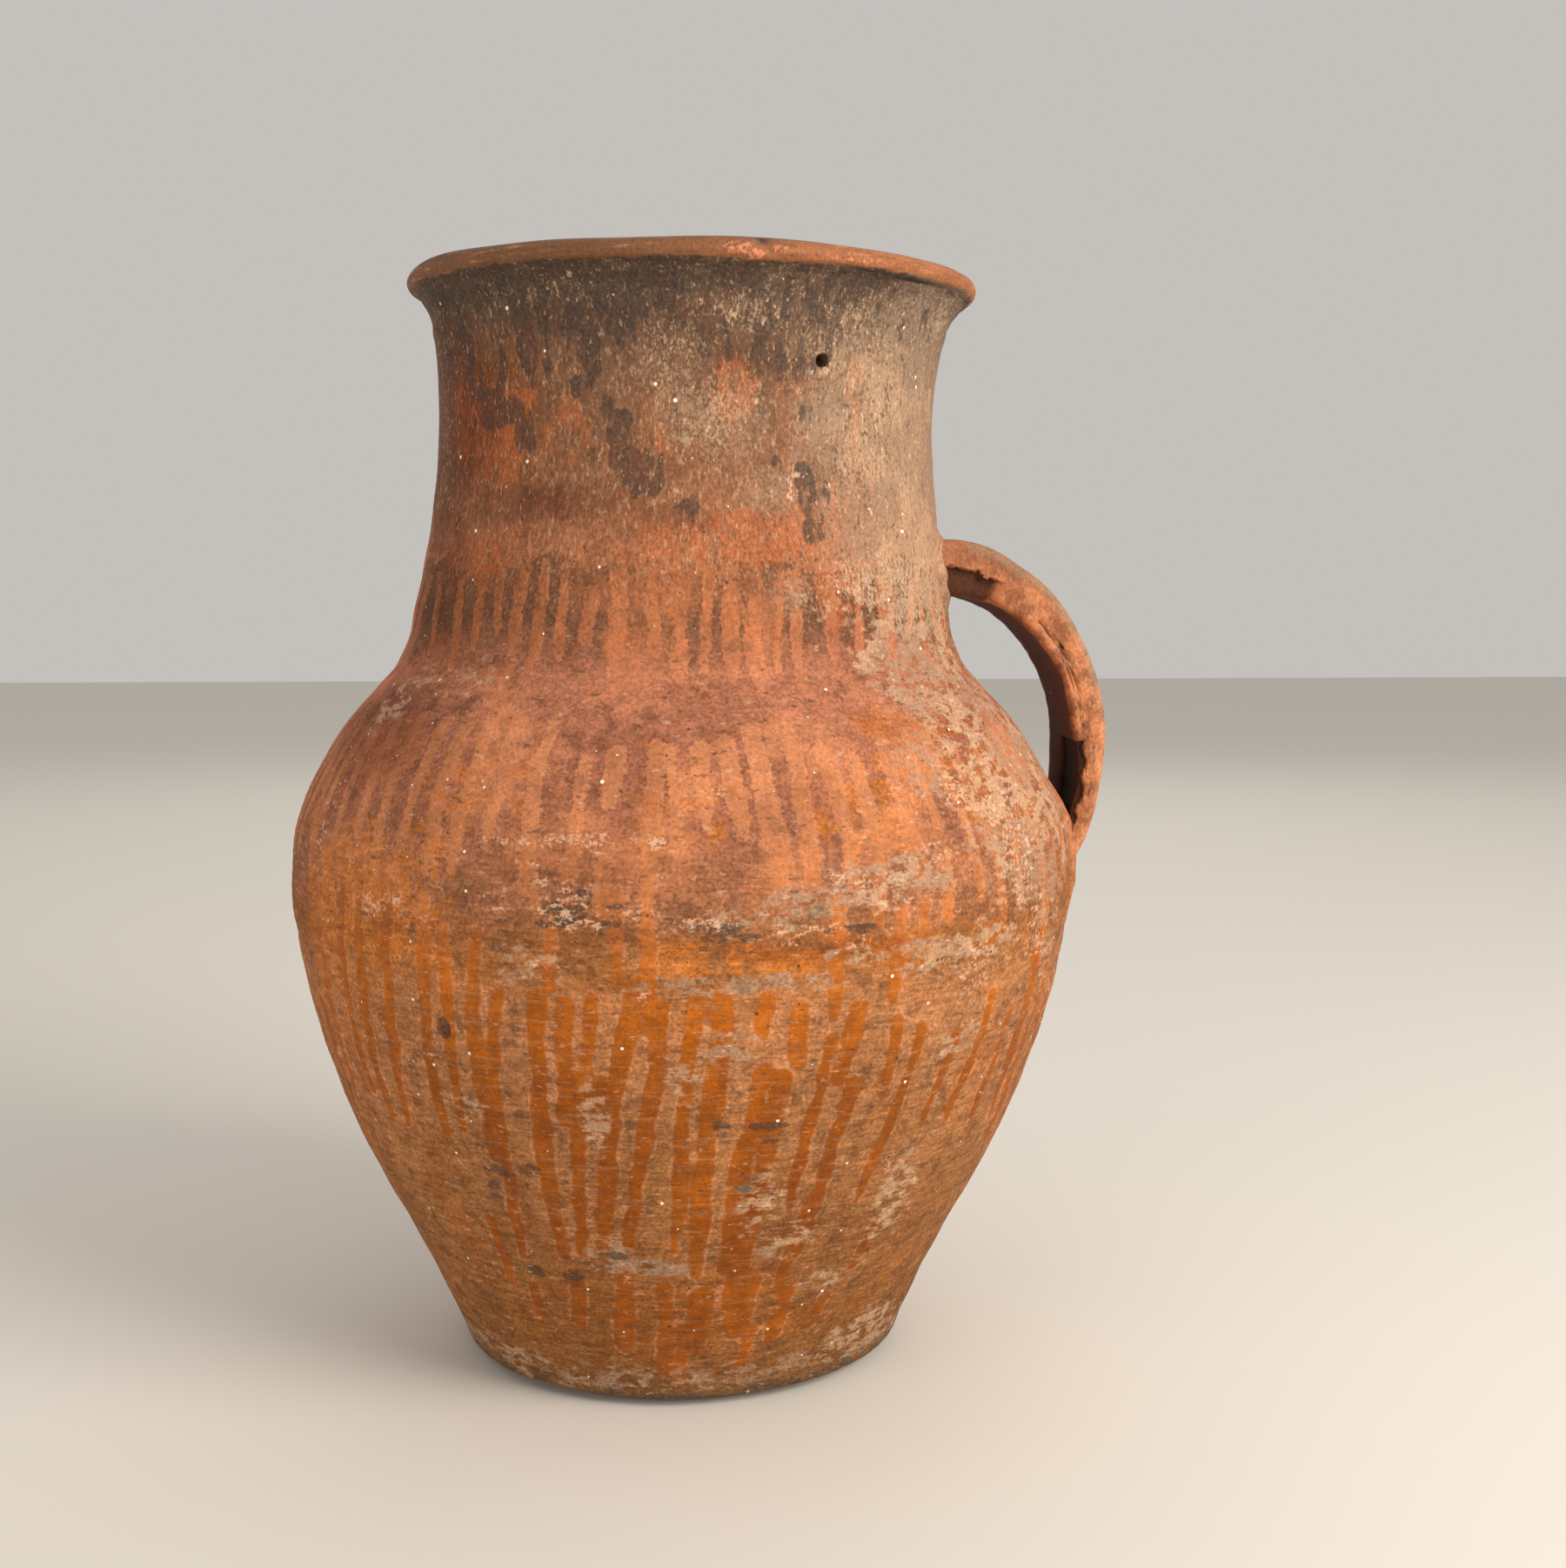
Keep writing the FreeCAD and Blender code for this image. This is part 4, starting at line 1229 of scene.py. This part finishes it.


# Dust, smoke with a little painted shade, and rubbed strokes lie over everything else.
def weatheredColor(tree, place, look, marks, color):
    onNeck, fine, upright, cloud = (marks[name] for name in ("onNeck", "grain", "upright", "cloud"))
    mixed = blendColor(tree, 0.35, upright, blendColor(tree, 0.5, fine, marks["smudge"]))
    dustMarks = blendColor(tree, onNeck, marks["fleck"], mixed)
    dust = patchMask(tree, fieldOf(tree, "dust"), dustMarks, 8.0, 0.19)
    dustColor = blendColor(tree, remap(tree, cloud, 0.4, 0.6), look["dust"], look["dustCool"])
    color = tinted(tree, color, shaded(tree, dustColor, marks["tone"]), dust, amounts["dust"])
    smokeAndShade = patchMask(tree, fieldOf(tree, "smokeAndShade"), marks["flecked"], 7.0, 0.13)
    smokeColor = blendColor(tree, remap(tree, fine, 0.4, 0.7), look["smokeAndShade"], look["smokeWarm"])
    color = tinted(tree, color, smokeColor, smokeAndShade, amounts["smokeAndShade"])
    strokes = noise(tree, place, 620, 3, 0.62, stretch=(0.4, 0.4, 1), shift=(5, 2, 7))
    scratches = noise(tree, place, 800, 2, 0.6, stretch=(1, 1, 0.5), shift=(2, 9, 4))
    scuffs = blendColor(tree, onNeck, strokes, scratches)
    dusted = calc(tree, "ADD", times(tree, dust, 0.45), 0.35)
    color = tinted(tree, color, look["chafe"], remap(tree, scuffs, 0.63, 0.68), dusted)
    color = tinted(tree, color, look["smokeWarm"], remap(tree, scuffs, 0.37, 0.32), amounts["darkScuffs"])
    pattern = blendColor(tree, 0.45, blendColor(tree, onNeck, strokes, upright), fine)
    chafe = patchMask(tree, times(tree, fieldOf(tree, "chafe"), 0.40), pattern, 11.0, 0.20)
    return tinted(tree, color, look["chafe"], chafe, amounts["chafe"]), chafe


def rolledRim(tree, look, marks, color, chafe):
    uneven = calc(tree, "ADD", fieldOf(tree, "rubbed"), swing(tree, marks["blotch"], 3.0))
    rubbed = remap(tree, uneven, -0.4, 0.4)
    # Painted light: the rubbed roll is lighter on the handle's side, which faces the lamp, and painted
    # darker on the far side.
    paintedLitSide = remap(tree, marks["towardsHandle"], -0.03, 0.05)
    roll = blendColor(tree, paintedLitSide, look["rubbedInPaintedShade"], look["rubbed"])
    roll = tinted(tree, roll, look["clayDark"], remap(tree, marks["level"], 0.50, 0.66), 0.35)
    roll = tinted(tree, roll, look["rubbedPale"], remap(tree, marks["level"], 0.44, 0.32), 0.45)
    roll = tinted(tree, roll, look["clayDark"], meets(tree, marks["height"], "crown"), 0.55)
    roll = shaded(tree, roll, marks["tone"])
    roll = tinted(tree, roll, look["salmon"], chafe, 0.8)
    color = blendColor(tree, rubbed, color, roll)
    # Painted shade in the crack under the roll and in the notch.
    return blendColor(tree, fieldOf(tree, "crackShade"), color, look["smokeAndShade"]), rubbed


# The skin of every thrown piece: clay, slip runs over it, painted shade and a dark belt, then dust, smoke,
# chafing, pits painted dark with shade, and lime specks.
def thrownClay(name, look, rubbedRim=False):
    material, tree, surface, place = startMaterial(name)
    marks = skinMarks(tree, place)
    color, slipMask = slippedColor(tree, place, look, marks)
    darkest = remap(tree, slipMask, 0, 1, 0.72, 0.84)
    palest = remap(tree, slipMask, 0, 1, 1.26, 1.14)
    marks["tone"] = remap(tree, marks["grain"], 0.32, 0.68, darkest, palest)
    color = markedColor(tree, look, marks, color, slipMask)
    color, chafe = weatheredColor(tree, place, look, marks, color)
    # Tiny pits, painted dark with shade, and sunk by the bump.
    stonePits = specks(tree, place, 170.0, 0.10)
    color = tinted(tree, color, look["smokeAndShade"], stonePits, amounts["stonePits"])
    turned = tree.nodes.new("ShaderNodeMapping")
    tree.links.new(place, turned.inputs["Vector"])
    turned.inputs["Location"].default_value = (0.3, 0.1, 0.2)
    lime = specks(tree, turned.outputs[0], 185.0, 0.13)
    color = blendColor(tree, lime, color, look["lime"])
    roughness = remap(tree, slipMask, 0, 1, 0.88, 0.76)
    if rubbedRim:
        color, rubbed = rolledRim(tree, look, marks, color, chafe)
        roughness = blendColor(tree, rubbed, roughness, (0.60, 0.60, 0.60, 1))
    soot = remap(tree, marks["cloud"], 0.35, 0.7)
    inside = tinted(tree, look["inside"], look["smokeWarm"], soot, amounts["insideSoot"])
    inside = shaded(tree, inside, remap(tree, marks["flecked"], 0.36, 0.64, 0.88, 1.10))
    color = blendColor(tree, fieldOf(tree, "inside"), color, inside)
    feed(tree, surface.inputs["Base Color"], color)
    feed(tree, surface.inputs["Roughness"], roughness)

    relief = times(tree, marks["grain"], 0.40)
    bumps = (
        (marks["blotch"], 0.35), (times(tree, marks["upright"], marks["onNeck"]), 0.65),
        (times(tree, marks["level"], marks["onWheel"]), 0.40),
        (slipMask, 0.15), (stonePits, -0.6), (lime, 0.3),
    )
    for pattern, rise in bumps:
        relief = calc(tree, "ADD", relief, times(tree, pattern, rise))
    bumpInto(tree, surface, relief)
    return material


strapLook = {
    "clay": paint(196, 126, 82),
    "clayDeep": paint(146, 90, 60),
    # painted shade, with some soot, for the strap's underside and the recess under the flap
    "under": paint(84, 45, 24),
    "edge": paint(142, 116, 94),
    # painted shade in cracks and creases
    "crackShade": paint(38, 24, 17),
    "pale": paint(214, 164, 128),
    # painted shade in the peeled hollow
    "peel": paint(40, 23, 14),
    "smear": paint(176, 128, 96),
    "lime": paint(240, 228, 210),
}


def strapClay(name, look):
    material, tree, surface, place = startMaterial(name)
    grain = useGroup(tree, grainGroup, Vector=place)
    blotch, fine, upright = (grain[label] for label in ("Blotch", "Grain", "Upright"))
    color = blendColor(tree, remap(tree, blotch, 0.40, 0.62), look["clay"], look["clayDeep"])
    color = tinted(tree, color, look["pale"], remap(tree, upright, 0.54, 0.66), 0.45)
    smear = patchMask(tree, fieldOf(tree, "smear"), blotch, 3.0, 0.3)
    color = tinted(tree, color, look["smear"], smear, 0.7)
    color = tinted(tree, color, look["clayDeep"], remap(tree, fieldOf(tree, "rise"), 0.55, 0.95), 0.6)
    edge = patchMask(tree, fieldOf(tree, "outerEdge"), blendColor(tree, 0.5, blotch, upright), 5.0, 0.35)
    color = tinted(tree, color, look["edge"], edge, 0.60)
    # Painted shade, with some soot, on the underside and in the recess under the flap; lighter towards the
    # near edge.
    under = patchMask(tree, fieldOf(tree, "innerSootAndShade"), blotch, 1.2, 0.32)
    color = tinted(tree, color, look["under"], under, 0.94)
    # Painted shade in the creases, under the flap's edge and in the broken hollow in the crotch.
    crackShade = remap(tree, calc(tree, "ADD", fieldOf(tree, "creaseShade"), swing(tree, fine, 0.8)), 0.35, 0.85)
    color = tinted(tree, color, look["crackShade"], crackShade, 0.85)
    # Near-black painted shade in the peeled hollow and in the recess under the flap.
    peel = patchMask(tree, fieldOf(tree, "peel"), fine, 2.0, 0.2)
    color = tinted(tree, color, look["peel"], peel, 0.92)
    color = shaded(tree, color, remap(tree, fine, 0.30, 0.70, 0.80, 1.18))
    color = blendColor(tree, specks(tree, place, 165.0, 0.11), color, look["lime"])
    feed(tree, surface.inputs["Base Color"], color)
    surface.inputs["Roughness"].default_value = 0.8
    relief = calc(tree, "ADD", times(tree, fine, 0.4), times(tree, blotch, 0.5))
    relief = calc(tree, "ADD", relief, times(tree, upright, 0.4))
    bumpInto(tree, surface, relief)
    return material


# Dressing the pieces.
rideTable = [                               # piece, CAD node it stands for, slot, material
    (baseDisc, "base_disc", "bare_clay", thrownClay("bareClay", clayLook)),
    (walls["lowerBody"], "lower_body", "slipped_clay", thrownClay("slippedClay", clayLook)),
    (walls["upperBody"], "upper_body", "slipped_clay", None),
    (walls["neckRing"], "neck", "sooty_clay", thrownClay("sootyClay", clayLook)),
    (rimRoll, "rim_roll", "rim_clay", thrownClay("rimClay", clayLook, rubbedRim=True)),
    (strapHandle, "strap_handle", "handle_clay", strapClay("handleClay", strapLook)),
    (upperLute, "upper_handle_lute", "handle_clay", thrownClay("luteClay", clayLook)),
    (lowerLute, "lower_handle_lute", "handle_clay", None),
]


def dressPieces():
    material = None
    for piece, node, slot, given in rideTable:
        material = given or material
        piece.data.materials.clear()
        piece.data.materials.append(material)
        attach(piece, "root")
        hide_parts(node)
    print("pieces dressed")


dressPieces()
